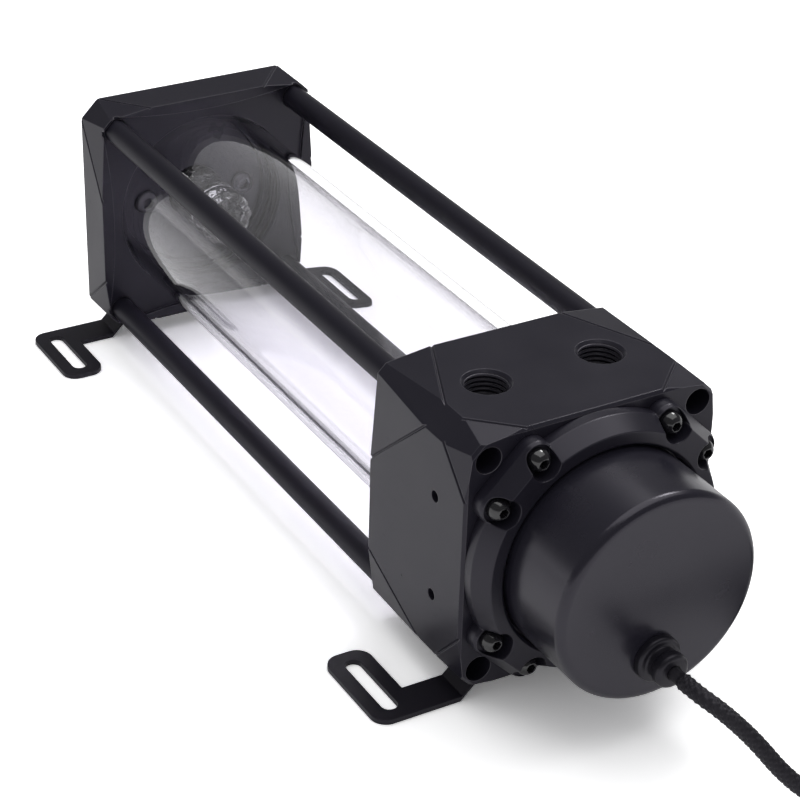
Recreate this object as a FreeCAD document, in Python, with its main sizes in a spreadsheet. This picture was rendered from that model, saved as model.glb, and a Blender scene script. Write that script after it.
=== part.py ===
import FreeCAD, Part
import math
import os
from types import SimpleNamespace

import Sketcher
from FreeCAD import Placement, Rotation, Vector

# Coolant pump reservoir: a motor pump clamped to a square block, a clear tube between the block and
# an end cap, four tie rods and four slotted feet. Millimetres, +X right, +Z up. The long axis is Y,
# with the pump at -Y. The origin is on the standing surface, in the middle of the overall box.

SIZES = {
    # Square block and end cap
    "block_width": 75.0,
    "block_length": 47.0,
    "corner_chamfer": 5.7,
    "face_bevel": 0.8,
    "cap_length": 15.0,
    "foot_rise": 5.5,
    # Sloping corner facets with their grooves
    "facet_across": 20.0,
    "facet_across_high": 8.5,
    "facet_along_front": 11.0,
    "facet_along_rear": 26.3,
    "facet_along_cap": 14.2,
    "facet_depth": 1.5,
    "groove_depth": 0.55,
    # Clear tube
    "tube_diameter": 60.0,
    "tube_wall": 3.0,
    "tube_exposed": 174.2,
    "tube_seat_block": 9.0,
    "tube_seat_cap": 7.0,
    "tube_gap": 0.2,
    "seal_section": 1.9,
    "seal_from_mouth": 4.4,
    "seal_gap": 0.08,
    "seal_groove_gap": 0.1,
    "tube_edge": 0.4,
    # Threaded ports in the top face
    "port_spacing": 34.5,
    "port_from_front": 24.2,
    "port_bore": 11.8,
    "port_depth": 14.0,
    "port_mouth": 13.4,
    "port_mouth_depth": 0.8,
    "channel_bore": 9.0,
    "channel_height": 13.0,
    # Pump chamber and reservoir chamber inside the block
    "volute_bore": 45.0,
    "volute_depth": 10.0,
    "inlet_bore": 14.0,
    "chamber_bore": 48.0,
    "chamber_depth": 8.0,
    # Tapped holes in the sides
    "side_hole_bore": 3.3,
    "side_hole_depth": 8.0,
    "side_hole_from_front": 14.2,
    "side_hole_spacing": 29.6,
    # Tie rods and their screws
    "rod_pitch": 62.5,
    "rod_diameter": 7.5,
    "rod_pocket": 2.0,
    "rod_gap": 0.15,
    "rod_edge": 0.4,
    "rod_tap_depth": 14.0,
    "rod_screw_diameter": 4.0,
    "rod_screw_head": 7.0,
    "rod_screw_head_height": 4.0,
    "rod_screw_hex": 3.0,
    "rod_screw_front_length": 35.0,
    "rod_screw_rear_length": 16.0,
    "rod_recess_front": 20.0,
    "rod_recess_rear": 5.0,
    "screw_gap": 0.1,
    "head_gap": 0.2,
    # Clamp ring
    "ring_thickness": 8.4,
    "ring_radius": 36.9,
    "ring_side": 3.2,
    "ring_slope": 2.7,
    "ring_inner_gap": 0.45,
    "ring_inner_edge": 0.8,
    "lobe_wall": 0.6,
    "lobe_root_radius": 30.6,
    "clamp_screw_far": 30.6,
    "clamp_screw_near": 19.7,
    "clamp_pocket_radius": 4.1,
    "clamp_pocket_floor": 3.4,
    "clamp_screw_diameter": 3.0,
    "clamp_screw_head": 5.7,
    "clamp_screw_head_height": 3.0,
    "clamp_screw_hex": 2.5,
    "clamp_screw_length": 8.0,
    "clamp_screw_tap": 6.0,
    "tap_gap": 0.5,
    # Pump housing
    "pump_length": 32.3,
    "housing_radius": 29.6,
    "housing_wall": 2.0,
    "housing_end": 2.5,
    "housing_edge": 2.5,
    "flange_radius": 31.8,
    "flange_thickness": 4.2,
    "pump_seal_radius": 29.9,
    "pump_seal_section": 2.1,
    # Cable grommet
    "grommet_drop": 17.0,
    "grommet_length": 8.0,
    "grommet_flange_radius": 6.65,
    "grommet_flange": 2.4,
    "grommet_collar_radius": 4.9,
    "grommet_collar": 3.6,
    "grommet_tip_radius": 3.3,
    "grommet_neck_radius": 4.4,
    "grommet_inner_radius": 5.6,
    "grommet_inner": 1.1,
    "grommet_edge": 0.8,
    "grommet_bore": 4.2,
    # Motor: separation can, bearing, rotor, stator and board
    "can_flange_gap": 0.2,
    "can_flange": 1.5,
    "can_inner_radius": 17.0,
    "can_wall": 1.2,
    "ball_depth": 3.0,
    "ball_radius": 3.2,
    "pin_radius": 1.4,
    "pin_seat": 2.6,
    "cup_gap": 0.3,
    "cup_radius": 5.45,
    "cup_length": 5.3,
    "rotor_gap": 1.2,
    "magnet_bore_radius": 6.5,
    "carrier_gap": 1.6,
    "carrier_thickness": 2.7,
    "neck_radius": 11.0,
    "impeller_radius": 20.0,
    "impeller_lift": 1.2,
    "plate_thickness": 1.5,
    "vane_height": 5.8,
    "vane_thickness": 1.3,
    "hub_radius": 8.5,
    "vane_inner_radius": 9.3,
    "vane_edge_gap": 0.4,
    "vane_sweep": 42.0,
    "vane_arc": 15.0,
    "nose_height": 2.5,
    "nose_radius": 4.0,
    "stator_gap": 0.3,
    "stator_yoke": 3.3,
    "stator_length": 14.0,
    "stator_from_face": 5.0,
    "pole_width": 6.0,
    "pole_length": 8.0,
    "pole_air": 0.5,
    "coil_from_pole_tip": 0.9,
    "coil_overhang": 2.2,
    "coil_gap": 0.15,
    "board_gap": 0.8,
    "board_thickness": 1.6,
    "board_post": 3.2,
    "board_post_radius": 2.0,
    "board_post_from_edge": 4.8,
    "capacitor_radius": 3.2,
    "capacitor_height": 4.2,
    "capacitor_across": 15.0,
    "capacitor_drop": 9.0,
    "chip_width": 7.0,
    "chip_height": 1.2,
    "chip_rise": 9.0,
    "socket_width": 9.0,
    "socket_height": 3.0,
    "socket_depth": 4.5,
    "socket_drop": 14.5,
    # End cap: front recess, insert disc and clear light plug
    "cap_recess": 1.2,
    "recess_corner": 36.4,
    "recess_middle": 33.5,
    "cap_bore": 50.0,
    "insert_face_depth": 9.0,
    "insert_thickness": 2.0,
    "insert_gap": 0.2,
    "insert_screw_spacing": 34.5,
    "insert_screw_diameter": 4.0,
    "insert_screw_head": 7.6,
    "insert_screw_head_height": 2.2,
    "insert_screw_hex": 2.5,
    "insert_screw_length": 5.0,
    "plug_radius": 9.0,
    "plug_reach": 16.0,
    "plug_flange_radius": 11.0,
    "plug_flange": 1.2,
    "plug_edge": 1.5,
    "plug_dish": 2.0,
    "plug_groove_from_cap": 6.0,
    "plug_groove_width": 2.0,
    "plug_groove_depth": 0.8,
    "lamp_bore": 5.2,
    "lamp_depth": 18.0,
    "plug_seal_radius": 7.5,
    "plug_seal_section": 1.2,
    # Slotted feet
    "foot_sheet": 1.5,
    "foot_arm_width": 10.6,
    "foot_inset_front": 3.3,
    "foot_inset_rear": 0.2,
    "foot_reach": 58.3,
    "foot_pad_width": 12.8,
    "foot_pad_length": 31.1,
    "foot_pad_corner": 4.5,
    "foot_slot_width": 4.6,
    "foot_slot_length": 23.5,
    "foot_bend_x": 33.4,
    "foot_flange_inner_x": 14.0,
    "foot_screw_x": 22.0,
    "foot_screw_diameter": 4.0,
    "foot_screw_head": 7.6,
    "foot_screw_head_height": 2.2,
    "foot_screw_hex": 2.5,
    "foot_screw_length": 8.0,
    # Pump lead, its coil and connector
    "lead_diameter": 4.6,
    "coil_inner_turn": 23.7,
    "coil_centre_x": 80.0,
    "connector_length": 20.0,
    "connector_width": 12.0,
    "connector_height": 7.0,
    "connector_contact_bore": 2.6,
    "connector_contact_depth": 9.0,
    "connector_from_centre": 6.4,
}

# Shares of a size, and how far cutting tools reach past what they cut
SEAL_GROOVE_SHARE = 1.3
SOCKET_DEPTH_SHARE = 0.55
DOME_FLATNESS = 1.06
PIN_SEAT_SHARE = 2.2
PIN_SINK_SHARE = 0.3
BEND_SHARE = 0.45
FACET_REACH = 6.0
GROOVE_REACH = 3.0

COIL_LAYERS = 2
COIL_RINGS = 2
STATOR_POLES = 6
IMPELLER_VANES = 7
CORNERS = ((-1, 1, "upper_left"), (1, 1, "upper_right"), (-1, -1, "lower_left"), (1, -1, "lower_right"))

DOC = FreeCAD.newDocument("coolant_pump_reservoir")
NODES = []


class Measure:
    """A length together with the sheet expression that gives it."""

    def __init__(self, value, text):
        self.value = value
        self.text = text

    def __add__(self, other):
        other = measure(other)
        return Measure(self.value + other.value, f"({self.text} + {other.text})")

    def __sub__(self, other):
        other = measure(other)
        return Measure(self.value - other.value, f"({self.text} - {other.text})")

    def __mul__(self, other):
        other = measure(other)
        return Measure(self.value * other.value, f"({self.text} * {other.text})")

    def __truediv__(self, other):
        other = measure(other)
        return Measure(self.value / other.value, f"({self.text} / {other.text})")

    def __radd__(self, other):
        return measure(other) + self

    def __rsub__(self, other):
        return measure(other) - self

    def __rmul__(self, other):
        return measure(other) * self

    def __neg__(self):
        return Measure(-self.value, f"(0 - {self.text})")

    def root(self):
        return Measure(math.sqrt(self.value), f"sqrt({self.text})")


def measure(number):
    """Gives a plain number the form of a measure."""
    if isinstance(number, Measure):
        return number
    return Measure(float(number), f"({number:.9g})")


def make_sheet():
    """Writes the driving sizes into the sheet and returns them by name."""
    sheet = DOC.addObject("Spreadsheet::Sheet", "sizes")
    sizes = SimpleNamespace()
    for row, (name, value) in enumerate(SIZES.items(), start=1):
        sheet.set(f"A{row}", name)
        sheet.set(f"B{row}", str(value))
        sheet.setAlias(f"B{row}", name)
        setattr(sizes, name, Measure(value, f"sizes.{name}"))
    return sizes


S = make_sheet()
S.axis_height = S.foot_rise + S.block_width / 2
ZERO = measure(0)

# Places along Y that several pieces share
OVERALL = S.grommet_length + S.pump_length + S.block_length + S.tube_exposed + S.cap_length
TIP_Y = -(OVERALL / 2)
PUMP_END_Y = TIP_Y + S.grommet_length
FRONT_Y = PUMP_END_Y + S.pump_length
REAR_Y = FRONT_Y + S.block_length
CAP_Y = REAR_Y + S.tube_exposed
CAP_END_Y = CAP_Y + S.cap_length
HALF_WIDTH = S.block_width / 2
ROD_OFFSET = S.rod_pitch / 2
ROD_SEAT_CAP = S.cap_recess + S.rod_pocket

HOUSING_INNER = S.housing_radius - S.housing_wall
BOARD_RADIUS = HOUSING_INNER - S.board_gap
POST_CIRCLE = BOARD_RADIUS - S.board_post_from_edge

# Directions that primitives can face: the turn that takes +Z there, and the unit vector
UP = (Rotation(), (0, 0, 1))
DOWN = (Rotation(Vector(1, 0, 0), 180), (0, 0, -1))
TO_FRONT = (Rotation(Vector(1, 0, 0), 90), (0, -1, 0))
TO_REAR = (Rotation(Vector(1, 0, 0), -90), (0, 1, 0))
TO_LEFT = (Rotation(Vector(0, 1, 0), -90), (-1, 0, 0))
TO_RIGHT = (Rotation(Vector(0, 1, 0), 90), (1, 0, 0))


def opposite(facing):
    """The facing that points the other way."""
    pairs = ((UP, DOWN), (TO_FRONT, TO_REAR), (TO_LEFT, TO_RIGHT))
    for one, other in pairs:
        if facing is one:
            return other
        if facing is other:
            return one
    raise ValueError("unknown facing")


def step(at, facing, distance):
    """The point that lies a distance from another one, along a facing."""
    return tuple(start + distance * part for start, part in zip(at, facing[1]))


def keep(node):
    """Lists an object among the finished sub-parts."""
    NODES.append(node)
    return node


def bind(thing, **measures):
    """Sets properties to measures and ties them to the sheet."""
    for name, value in measures.items():
        value = measure(value)
        setattr(thing, name, value.value)
        thing.setExpression(name, value.text)


def put(thing, at, turn=None):
    """Places an object and ties its place to the sheet."""
    at = tuple(measure(part) for part in at)
    place = Vector(*(part.value for part in at))
    thing.Placement = Placement(place, turn if turn is not None else Rotation())
    for letter, part in zip("xyz", at):
        thing.setExpression(f"Placement.Base.{letter}", part.text)
    return thing


def cylinder(radius, height, at, facing=UP):
    """A cylinder that stands on a point and runs along a facing."""
    made = DOC.addObject("Part::Cylinder", "cylinder")
    bind(made, Radius=radius, Height=height)
    return put(made, at, facing[0])


def cone(start_radius, end_radius, height, at, facing=UP):
    """A cone frustum that stands on a point and runs along a facing."""
    made = DOC.addObject("Part::Cone", "cone")
    bind(made, Radius1=start_radius, Radius2=end_radius, Height=height)
    return put(made, at, facing[0])


def hexagon(across_flats, height, at, facing=UP):
    """A hexagonal prism of a width across its flats."""
    made = DOC.addObject("Part::Prism", "hexagon")
    made.Polygon = 6
    bind(made, Circumradius=measure(across_flats) / math.sqrt(3), Height=height)
    return put(made, at, facing[0])


def sphere(radius, at):
    """A whole ball around a point."""
    made = DOC.addObject("Part::Sphere", "sphere")
    bind(made, Radius=radius)
    return put(made, at)


def block(length, width, height, at, turn=None):
    """A box from its lowest corner."""
    made = DOC.addObject("Part::Box", "box")
    bind(made, Length=length, Width=width, Height=height)
    return put(made, at, turn)


def torus(ring_radius, section, at):
    """A round section ring about an axis along Y."""
    made = DOC.addObject("Part::Torus", "torus")
    bind(made, Radius1=ring_radius, Radius2=measure(section) / 2)
    return put(made, at, TO_REAR[0])


def fuse(parts, label=None):
    """Joins touching solids into one."""
    made = DOC.addObject("Part::MultiFuse", label or "joined")
    made.Shapes = parts
    made.Refine = True
    return made


def cut(base, tools, label=None):
    """Takes tools away from a base."""
    made = DOC.addObject("Part::Cut", label or "cut_piece")
    made.Base = base
    made.Tool = tools[0] if len(tools) == 1 else fuse(tools)
    made.Refine = True
    return made


def common(one, other):
    """What two solids share."""
    made = DOC.addObject("Part::Common", "shared")
    made.Base = one
    made.Tool = other
    return made


def group(parts, label):
    """Separate solids that make one node."""
    made = DOC.addObject("Part::Compound", label)
    made.Links = parts
    return made


def new_body(label, at):
    """An empty body at a place."""
    made = DOC.addObject("PartDesign::Body", label)
    return put(made, at)


def origin_item(body, role):
    """One of a body's own origin planes or axes."""
    return next(item for item in body.Origin.OriginFeatures if item.Role == role)


def arc_middle(start, end, radius, side):
    """The middle point of an arc, whose centre lies on the given side of its chord."""
    chord = end - start
    across = Vector(-chord.y, chord.x, 0).normalize() * side
    rise = math.sqrt(max(radius * radius - chord.Length ** 2 / 4, 0.0))
    centre = (start + end) * 0.5 + across * rise
    return centre - across * radius


def outline(body, role, points, arcs=None, lift=None):
    """A closed sketch through points given as measures.

    arcs maps the number of an edge to its radius and to the side of its centre: 1 for the left
    of the walk from point to point, -1 for the right. An arc with no radius is half a circle.
    lift moves the sketch along its normal.
    """
    arcs = arcs or {}
    sketch = body.newObject("Sketcher::SketchObject", f"{body.Name}_sketch")
    sketch.AttachmentSupport = [(origin_item(body, role), "")]
    sketch.MapMode = "FlatFace"
    if lift is not None:
        sketch.AttachmentOffset = Placement(Vector(0, 0, lift.value), Rotation())
        sketch.setExpression("AttachmentOffset.Base.z", lift.text)
    points = [(measure(across), measure(along)) for across, along in points]
    corners = [Vector(across.value, along.value, 0) for across, along in points]
    count = len(corners)
    for number, start in enumerate(corners):
        end = corners[(number + 1) % count]
        if number in arcs:
            radius, side = arcs[number]
            half_chord = (end - start).Length / 2
            middle = arc_middle(start, end, half_chord if radius is None else measure(radius).value, side)
            sketch.addGeometry(Part.Arc(start, middle, end), False)
        else:
            sketch.addGeometry(Part.LineSegment(start, end), False)
    starts = []
    for number, start in enumerate(corners):
        first = sketch.getPoint(number, 1)
        starts.append(1 if (first - start).Length < 1e-6 else 2)
    for number in range(count):
        following = (number + 1) % count
        end_pick = 3 - starts[number]
        sketch.addConstraint(Sketcher.Constraint("Coincident", number, end_pick, following, starts[following]))
    for number, (across, along) in enumerate(points):
        pin_point(sketch, number, starts[number], "DistanceX", across, -2)
        pin_point(sketch, number, starts[number], "DistanceY", along, -1)
    for number, (radius, side) in arcs.items():
        if radius is None:
            sketch.addConstraint(Sketcher.Constraint("Symmetric", number, 1, number, 2, number, 3))
            continue
        radius = measure(radius)
        place = sketch.addConstraint(Sketcher.Constraint("Radius", number, radius.value))
        sketch.setExpression(f"Constraints[{place}]", radius.text)
    return sketch


def pin_point(sketch, edge, pick, kind, value, axis):
    """Ties one coordinate of a sketch point to the sheet, or puts it on an axis."""
    if abs(value.value) < 1e-9:
        sketch.addConstraint(Sketcher.Constraint("PointOnObject", edge, pick, axis))
        return
    place = sketch.addConstraint(Sketcher.Constraint(kind, -1, 1, edge, pick, value.value))
    sketch.setExpression(f"Constraints[{place}]", value.text)


def finish_feature(body, feature):
    """Makes a feature the tip of its body."""
    body.Tip = feature
    DOC.recompute()
    return feature


def spin(body, points, arcs=None):
    """A solid of revolution about Y, from a profile of radius and Y."""
    sketch = outline(body, "XY_Plane", points, arcs)
    made = body.newObject("PartDesign::Revolution", f"{body.Name}_turned")
    made.Profile = sketch
    made.ReferenceAxis = (sketch, ["V_Axis"])
    made.Angle = 360.0
    return finish_feature(body, made)


def spin_cut(body, points):
    """A turned recess about Y, from a profile of radius and Y."""
    sketch = outline(body, "XY_Plane", points)
    made = body.newObject("PartDesign::Groove", f"{body.Name}_recess")
    made.Profile = sketch
    made.ReferenceAxis = (sketch, ["V_Axis"])
    made.Angle = 360.0
    return finish_feature(body, made)


def pad(body, sketch, length, backwards=False, taper=None):
    """Extrudes a sketch, along its normal or backwards."""
    made = body.newObject("PartDesign::Pad", f"{body.Name}_pad")
    made.Profile = sketch
    made.Reversed = backwards
    bind(made, Length=length)
    if taper is not None:
        made.TaperAngle = taper
    return finish_feature(body, made)


def pocket(body, sketch, length, backwards=False):
    """Cuts a sketch into a body."""
    made = body.newObject("PartDesign::Pocket", f"{body.Name}_pocket")
    made.Profile = sketch
    made.Reversed = backwards
    bind(made, Length=length)
    return finish_feature(body, made)


def round_tool(body, kind, radius, height, at, facing):
    """A cylinder added to a body or cut from it."""
    made = body.newObject(f"PartDesign::{kind}Cylinder", f"{body.Name}_{kind.lower()}")
    bind(made, Radius=radius, Height=height)
    put(made, at, facing[0])
    return finish_feature(body, made)


def repeat_around(body, features, count):
    """Repeats features about the body's Y axis."""
    made = body.newObject("PartDesign::PolarPattern", f"{body.Name}_pattern")
    made.Originals = features
    made.Axis = (origin_item(body, "Y_Axis"), [""])
    made.Angle = 360.0
    made.Occurrences = count
    return finish_feature(body, made)


def bevel(body, feature, wanted, size):
    """Chamfers the edges of a body's last feature that pass a test."""
    names = [f"Edge{number}" for number, edge in enumerate(feature.Shape.Edges, start=1) if wanted(edge)]
    made = body.newObject("PartDesign::Chamfer", f"{body.Name}_bevel")
    made.Base = (feature, names)
    bind(made, Size=size)
    return finish_feature(body, made)


def on_axis(along_y):
    """A point on the pump's axis."""
    return (ZERO, measure(along_y), S.axis_height)


def square_outline(body):
    """The square with chamfered corners that the block and the end cap share."""
    near = HALF_WIDTH - S.corner_chamfer
    points = [(near, HALF_WIDTH), (-near, HALF_WIDTH), (-HALF_WIDTH, near), (-HALF_WIDTH, -near)]
    points += [(-near, -HALF_WIDTH), (near, -HALF_WIDTH), (HALF_WIDTH, -near), (HALF_WIDTH, near)]
    return outline(body, "XZ_Plane", points)


def on_plane_y(edge, value):
    """Says whether an edge lies in a plane across Y."""
    return all(abs(vertex.Point.y - value) < 1e-6 for vertex in edge.Vertexes)


def facet_tools(along_y, inward, along, across, upper_across):
    """Wedge cuts for the eight corner facets at one end, and the grooves that bound them.

    Each facet is a plane through its groove line that falls by the facet depth at the corner.
    """
    tools = []
    axis = Vector(0, along_y.value, S.axis_height.value)
    half = HALF_WIDTH.value
    corner = (HALF_WIDTH - S.corner_chamfer).value
    for quarter in range(4):
        angle = math.radians(90 * quarter)
        normal = Vector(math.sin(angle), 0, math.cos(angle))
        side = Vector(math.cos(angle), 0, -math.sin(angle))
        for way in (-1, 1):
            high = abs(normal.x) > 0.5 and (side * way).z > 0
            reach = (upper_across if high else across).value
            start = axis + normal * half + side * way * reach
            corner_point = axis + normal * half + side * way * corner
            end = corner_point + Vector(0, inward * along.value, 0)
            low = corner_point - normal * S.facet_depth.value
            tools.append(facet_box(start, end, low, normal))
            tools.append(groove_box(start, end, normal))
    return tools


def facet_box(start, end, low, normal):
    """A box whose floor holds the groove line and the lowered corner."""
    run = (end - start).normalize()
    up = run.cross(low - start).normalize()
    if up.dot(normal) < 0:
        up = up * -1
    across = up.cross(run)
    if across.dot(low - start) < 0:
        run = run * -1
        across = across * -1
        start, end = end, start
    turn = Rotation(run, across, up, "ZXY")
    size = HALF_WIDTH.value
    made = DOC.addObject("Part::Box", "facet")
    made.Length = (end - start).Length + 2 * FACET_REACH
    made.Width = size
    made.Height = size / 4
    made.Placement = Placement(start - run * FACET_REACH, turn)
    return made


def groove_box(start, end, normal):
    """A square bar set on its edge, which cuts a V groove along a line."""
    run = (end - start).normalize()
    across = normal.cross(run)
    lean = (across + normal).normalize()
    rise = (normal - across).normalize()
    made = DOC.addObject("Part::Box", "groove")
    made.Length = (end - start).Length + 2 * GROOVE_REACH
    made.Width = S.groove_depth.value * 3
    made.Height = S.groove_depth.value * 3
    bottom = start - run * GROOVE_REACH - normal * S.groove_depth.value
    made.Placement = Placement(bottom, Rotation(run, lean, rise, "ZXY"))
    return made


def rod_places():
    """The four places of the tie rods, as x and z."""
    return [(sign_x * ROD_OFFSET, S.axis_height + sign_z * ROD_OFFSET) for sign_x, sign_z, _ in CORNERS]


def clamp_screw_places():
    """The eight places of the clamp screws, in pairs beside each diagonal."""
    places = []
    for sign_x, sign_z, _ in CORNERS:
        for across, rise in ((S.clamp_screw_far, S.clamp_screw_near), (S.clamp_screw_near, S.clamp_screw_far)):
            places.append((sign_x * across, S.axis_height + sign_z * rise))
    return places


def foot_places():
    """Side, end, and the Y of the outer edge of each foot's arm."""
    front = FRONT_Y + S.foot_inset_front
    rear = CAP_END_Y - S.foot_inset_rear
    return [(-1, 1, front, "front_left"), (1, 1, front, "front_right"),
            (-1, -1, rear, "rear_left"), (1, -1, rear, "rear_right")]


def foot_screw_places():
    """The places of the four foot screws, as x and y."""
    return [(side * S.foot_screw_x, edge + way * S.foot_arm_width / 2) for side, way, edge, _ in foot_places()]


def port_tools(sign):
    """Mouth and bore of one threaded port in the top face."""
    top = S.axis_height + HALF_WIDTH
    at = (sign * S.port_spacing / 2, FRONT_Y + S.port_from_front, top)
    bore = cylinder(S.port_bore / 2, S.port_depth, at, DOWN)
    mouth = cone(S.port_mouth / 2, S.port_bore / 2, S.port_mouth_depth, at, DOWN)
    return [bore, mouth]


def channel_tools():
    """The outlet from the pump chamber and the return into the reservoir chamber."""
    radius = S.channel_bore / 2
    height = S.axis_height + S.channel_height
    port_floor = S.axis_height + HALF_WIDTH - S.port_depth
    port_y = FRONT_Y + S.port_from_front
    chamber_y = REAR_Y - S.tube_seat_block - S.chamber_depth
    tools = []
    for sign in (-1, 1):
        x = sign * S.port_spacing / 2
        tools.append(cylinder(radius, port_floor - height + 1, (x, port_y, height)))
        tools.append(sphere(radius, (x, port_y, height)))
    volute_floor_y = FRONT_Y + S.volute_depth
    outlet_at = (S.port_spacing / 2, volute_floor_y - 4, height)
    tools.append(cylinder(radius, port_y - volute_floor_y + 4, outlet_at, TO_REAR))
    return_at = (-S.port_spacing / 2, port_y, height)
    tools.append(cylinder(radius, chamber_y - port_y + 1, return_at, TO_REAR))
    return tools


def make_pump_top():
    """The block that holds the pump chamber, the ports and the tube's socket."""
    body = new_body("pump_top_blank", on_axis(FRONT_Y))
    blank = pad(body, square_outline(body), S.block_length, backwards=True)
    bevel(body, blank, lambda edge: on_plane_y(edge, 0.0), S.face_bevel)
    tools = facet_tools(FRONT_Y, 1, S.facet_along_front, S.facet_across, S.facet_across)
    tools += facet_tools(REAR_Y, -1, S.facet_along_rear, S.facet_across, S.facet_across_high)
    tools += port_tools(-1) + port_tools(1) + channel_tools()
    seat = S.tube_diameter / 2 + S.tube_gap
    socket_y = REAR_Y - S.tube_seat_block
    tools.append(cylinder(seat, S.tube_seat_block, on_axis(socket_y), TO_REAR))
    chamber_y = socket_y - S.chamber_depth
    tools.append(cylinder(S.chamber_bore / 2, S.chamber_depth, on_axis(chamber_y), TO_REAR))
    tools.append(tube_seal_groove(REAR_Y - S.seal_from_mouth))
    volute_y = FRONT_Y + S.volute_depth
    tools.append(cylinder(S.inlet_bore / 2, chamber_y - volute_y, on_axis(volute_y), TO_REAR))
    tools.append(cylinder(S.volute_bore / 2, S.volute_depth, on_axis(FRONT_Y), TO_REAR))
    tools.append(pump_seal_groove())
    for x, z in clamp_screw_places():
        radius = S.clamp_screw_diameter / 2 + S.screw_gap
        tools.append(cylinder(radius, S.clamp_screw_tap, (x, FRONT_Y, z), TO_REAR))
    for x, z in rod_places():
        tools += rod_hole(x, z, FRONT_Y, S.rod_recess_front, REAR_Y, S.rod_pocket, TO_REAR)
    for x, y in foot_screw_places()[:2]:
        tools.append(foot_screw_hole(x, y))
    for facing in (TO_LEFT, TO_RIGHT):
        for way in (-1, 1):
            x = facing[1][0] * HALF_WIDTH
            z = S.axis_height + way * S.side_hole_spacing / 2
            at = (x, FRONT_Y + S.side_hole_from_front, z)
            tools.append(cylinder(S.side_hole_bore / 2, S.side_hole_depth, at, opposite(facing)))
    return keep(cut(body, tools, "pump_top"))


def tube_seal_groove(middle_y):
    """The groove round a tube socket for its seal ring."""
    radius = S.tube_diameter / 2 + S.seal_section + 2 * S.seal_gap
    width = S.seal_section * SEAL_GROOVE_SHARE
    return cylinder(radius, width, on_axis(middle_y - width / 2), TO_REAR)


def pump_seal_groove():
    """The round groove in the block's front face for the pump's seal ring."""
    width = S.pump_seal_section * SEAL_GROOVE_SHARE
    depth = S.pump_seal_section + S.seal_groove_gap
    outer = cylinder(S.pump_seal_radius + width / 2, depth, on_axis(FRONT_Y), TO_REAR)
    inner = cylinder(S.pump_seal_radius - width / 2, depth, on_axis(FRONT_Y), TO_REAR)
    return cut(outer, [inner])


def rod_hole(x, z, outer_y, recess, inner_y, rod_pocket_depth, inwards):
    """Screw recess, clearance hole and rod pocket along one tie rod."""
    head_radius = S.rod_screw_head / 2 + S.head_gap
    hole_radius = S.rod_screw_diameter / 2 + S.screw_gap
    length = inner_y - outer_y if inwards is TO_REAR else outer_y - inner_y
    recess_tool = cylinder(head_radius, recess, (x, outer_y, z), inwards)
    hole = cylinder(hole_radius, length, (x, outer_y, z), inwards)
    socket = cylinder(S.rod_diameter / 2 + S.rod_gap, rod_pocket_depth, (x, inner_y, z), opposite(inwards))
    return [recess_tool, hole, socket]


def foot_screw_hole(x, y):
    """A tapped hole in the underside for a foot screw."""
    radius = S.foot_screw_diameter / 2 + S.screw_gap
    depth = S.foot_screw_length - S.foot_sheet + S.tap_gap
    return cylinder(radius, depth, (x, y, S.axis_height - HALF_WIDTH))


def make_end_cap():
    """The cap that closes the tube, with its recessed front, tube seat and insert seat."""
    body = new_body("end_cap_blank", on_axis(CAP_Y))
    blank = pad(body, square_outline(body), S.cap_length, backwards=True)
    end = S.cap_length.value
    beveled = bevel(body, blank, lambda edge: on_plane_y(edge, end), S.face_bevel)
    volume = beveled.Shape.Volume
    near = HALF_WIDTH - S.corner_chamfer
    corner = S.recess_corner
    points = [(near, corner), (-near, corner), (-corner, near), (-corner, -near)]
    points += [(-near, -corner), (near, -corner), (corner, -near), (corner, near)]
    sag = S.recess_corner - S.recess_middle
    bend = (near * near + sag * sag) / (2 * sag)
    arcs = {0: (bend, -1), 2: (bend, -1), 4: (bend, -1), 6: (bend, -1)}
    pocket(body, outline(body, "XZ_Plane", points, arcs), S.cap_recess)
    if body.Shape.Volume > volume - 100:
        raise RuntimeError("the cap's front recess cut nothing")
    tools = facet_tools(CAP_Y, 1, S.facet_along_cap, S.facet_across, S.facet_across_high)
    seat = S.tube_diameter / 2 + S.tube_gap
    tools.append(cylinder(seat, S.tube_seat_cap, on_axis(CAP_Y), TO_REAR))
    depth = S.insert_face_depth + S.insert_thickness
    tools.append(cylinder(S.cap_bore / 2, depth, on_axis(CAP_Y), TO_REAR))
    tools.append(tube_seal_groove(CAP_Y + S.seal_from_mouth))
    flange_radius = S.plug_flange_radius + S.insert_gap
    tools.append(cylinder(flange_radius, S.plug_flange, on_axis(CAP_Y + depth), TO_REAR))
    groove_y = CAP_Y + depth + S.plug_flange
    half_groove = S.plug_seal_section * SEAL_GROOVE_SHARE / 2
    groove_depth = S.plug_seal_section + S.seal_groove_gap
    groove = cylinder(S.plug_seal_radius + half_groove, groove_depth, on_axis(groove_y), TO_REAR)
    core = cylinder(S.plug_seal_radius - half_groove, groove_depth, on_axis(groove_y), TO_REAR)
    tools.append(cut(groove, [core]))
    tools.append(cylinder(S.lamp_bore / 2, S.cap_length, on_axis(CAP_Y), TO_REAR))
    for way in (-1, 1):
        at = (way * S.insert_screw_spacing / 2, CAP_Y + depth, S.axis_height)
        radius = S.insert_screw_diameter / 2 + S.screw_gap
        reach = S.insert_screw_length - S.insert_thickness + S.tap_gap
        tools.append(cylinder(radius, reach, at, TO_REAR))
    for x, z in rod_places():
        tools += rod_hole(x, z, CAP_END_Y, S.rod_recess_rear, CAP_Y, ROD_SEAT_CAP, TO_FRONT)
    for x, y in foot_screw_places()[2:]:
        tools.append(foot_screw_hole(x, y))
    return keep(cut(body, tools, "end_cap"))


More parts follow.
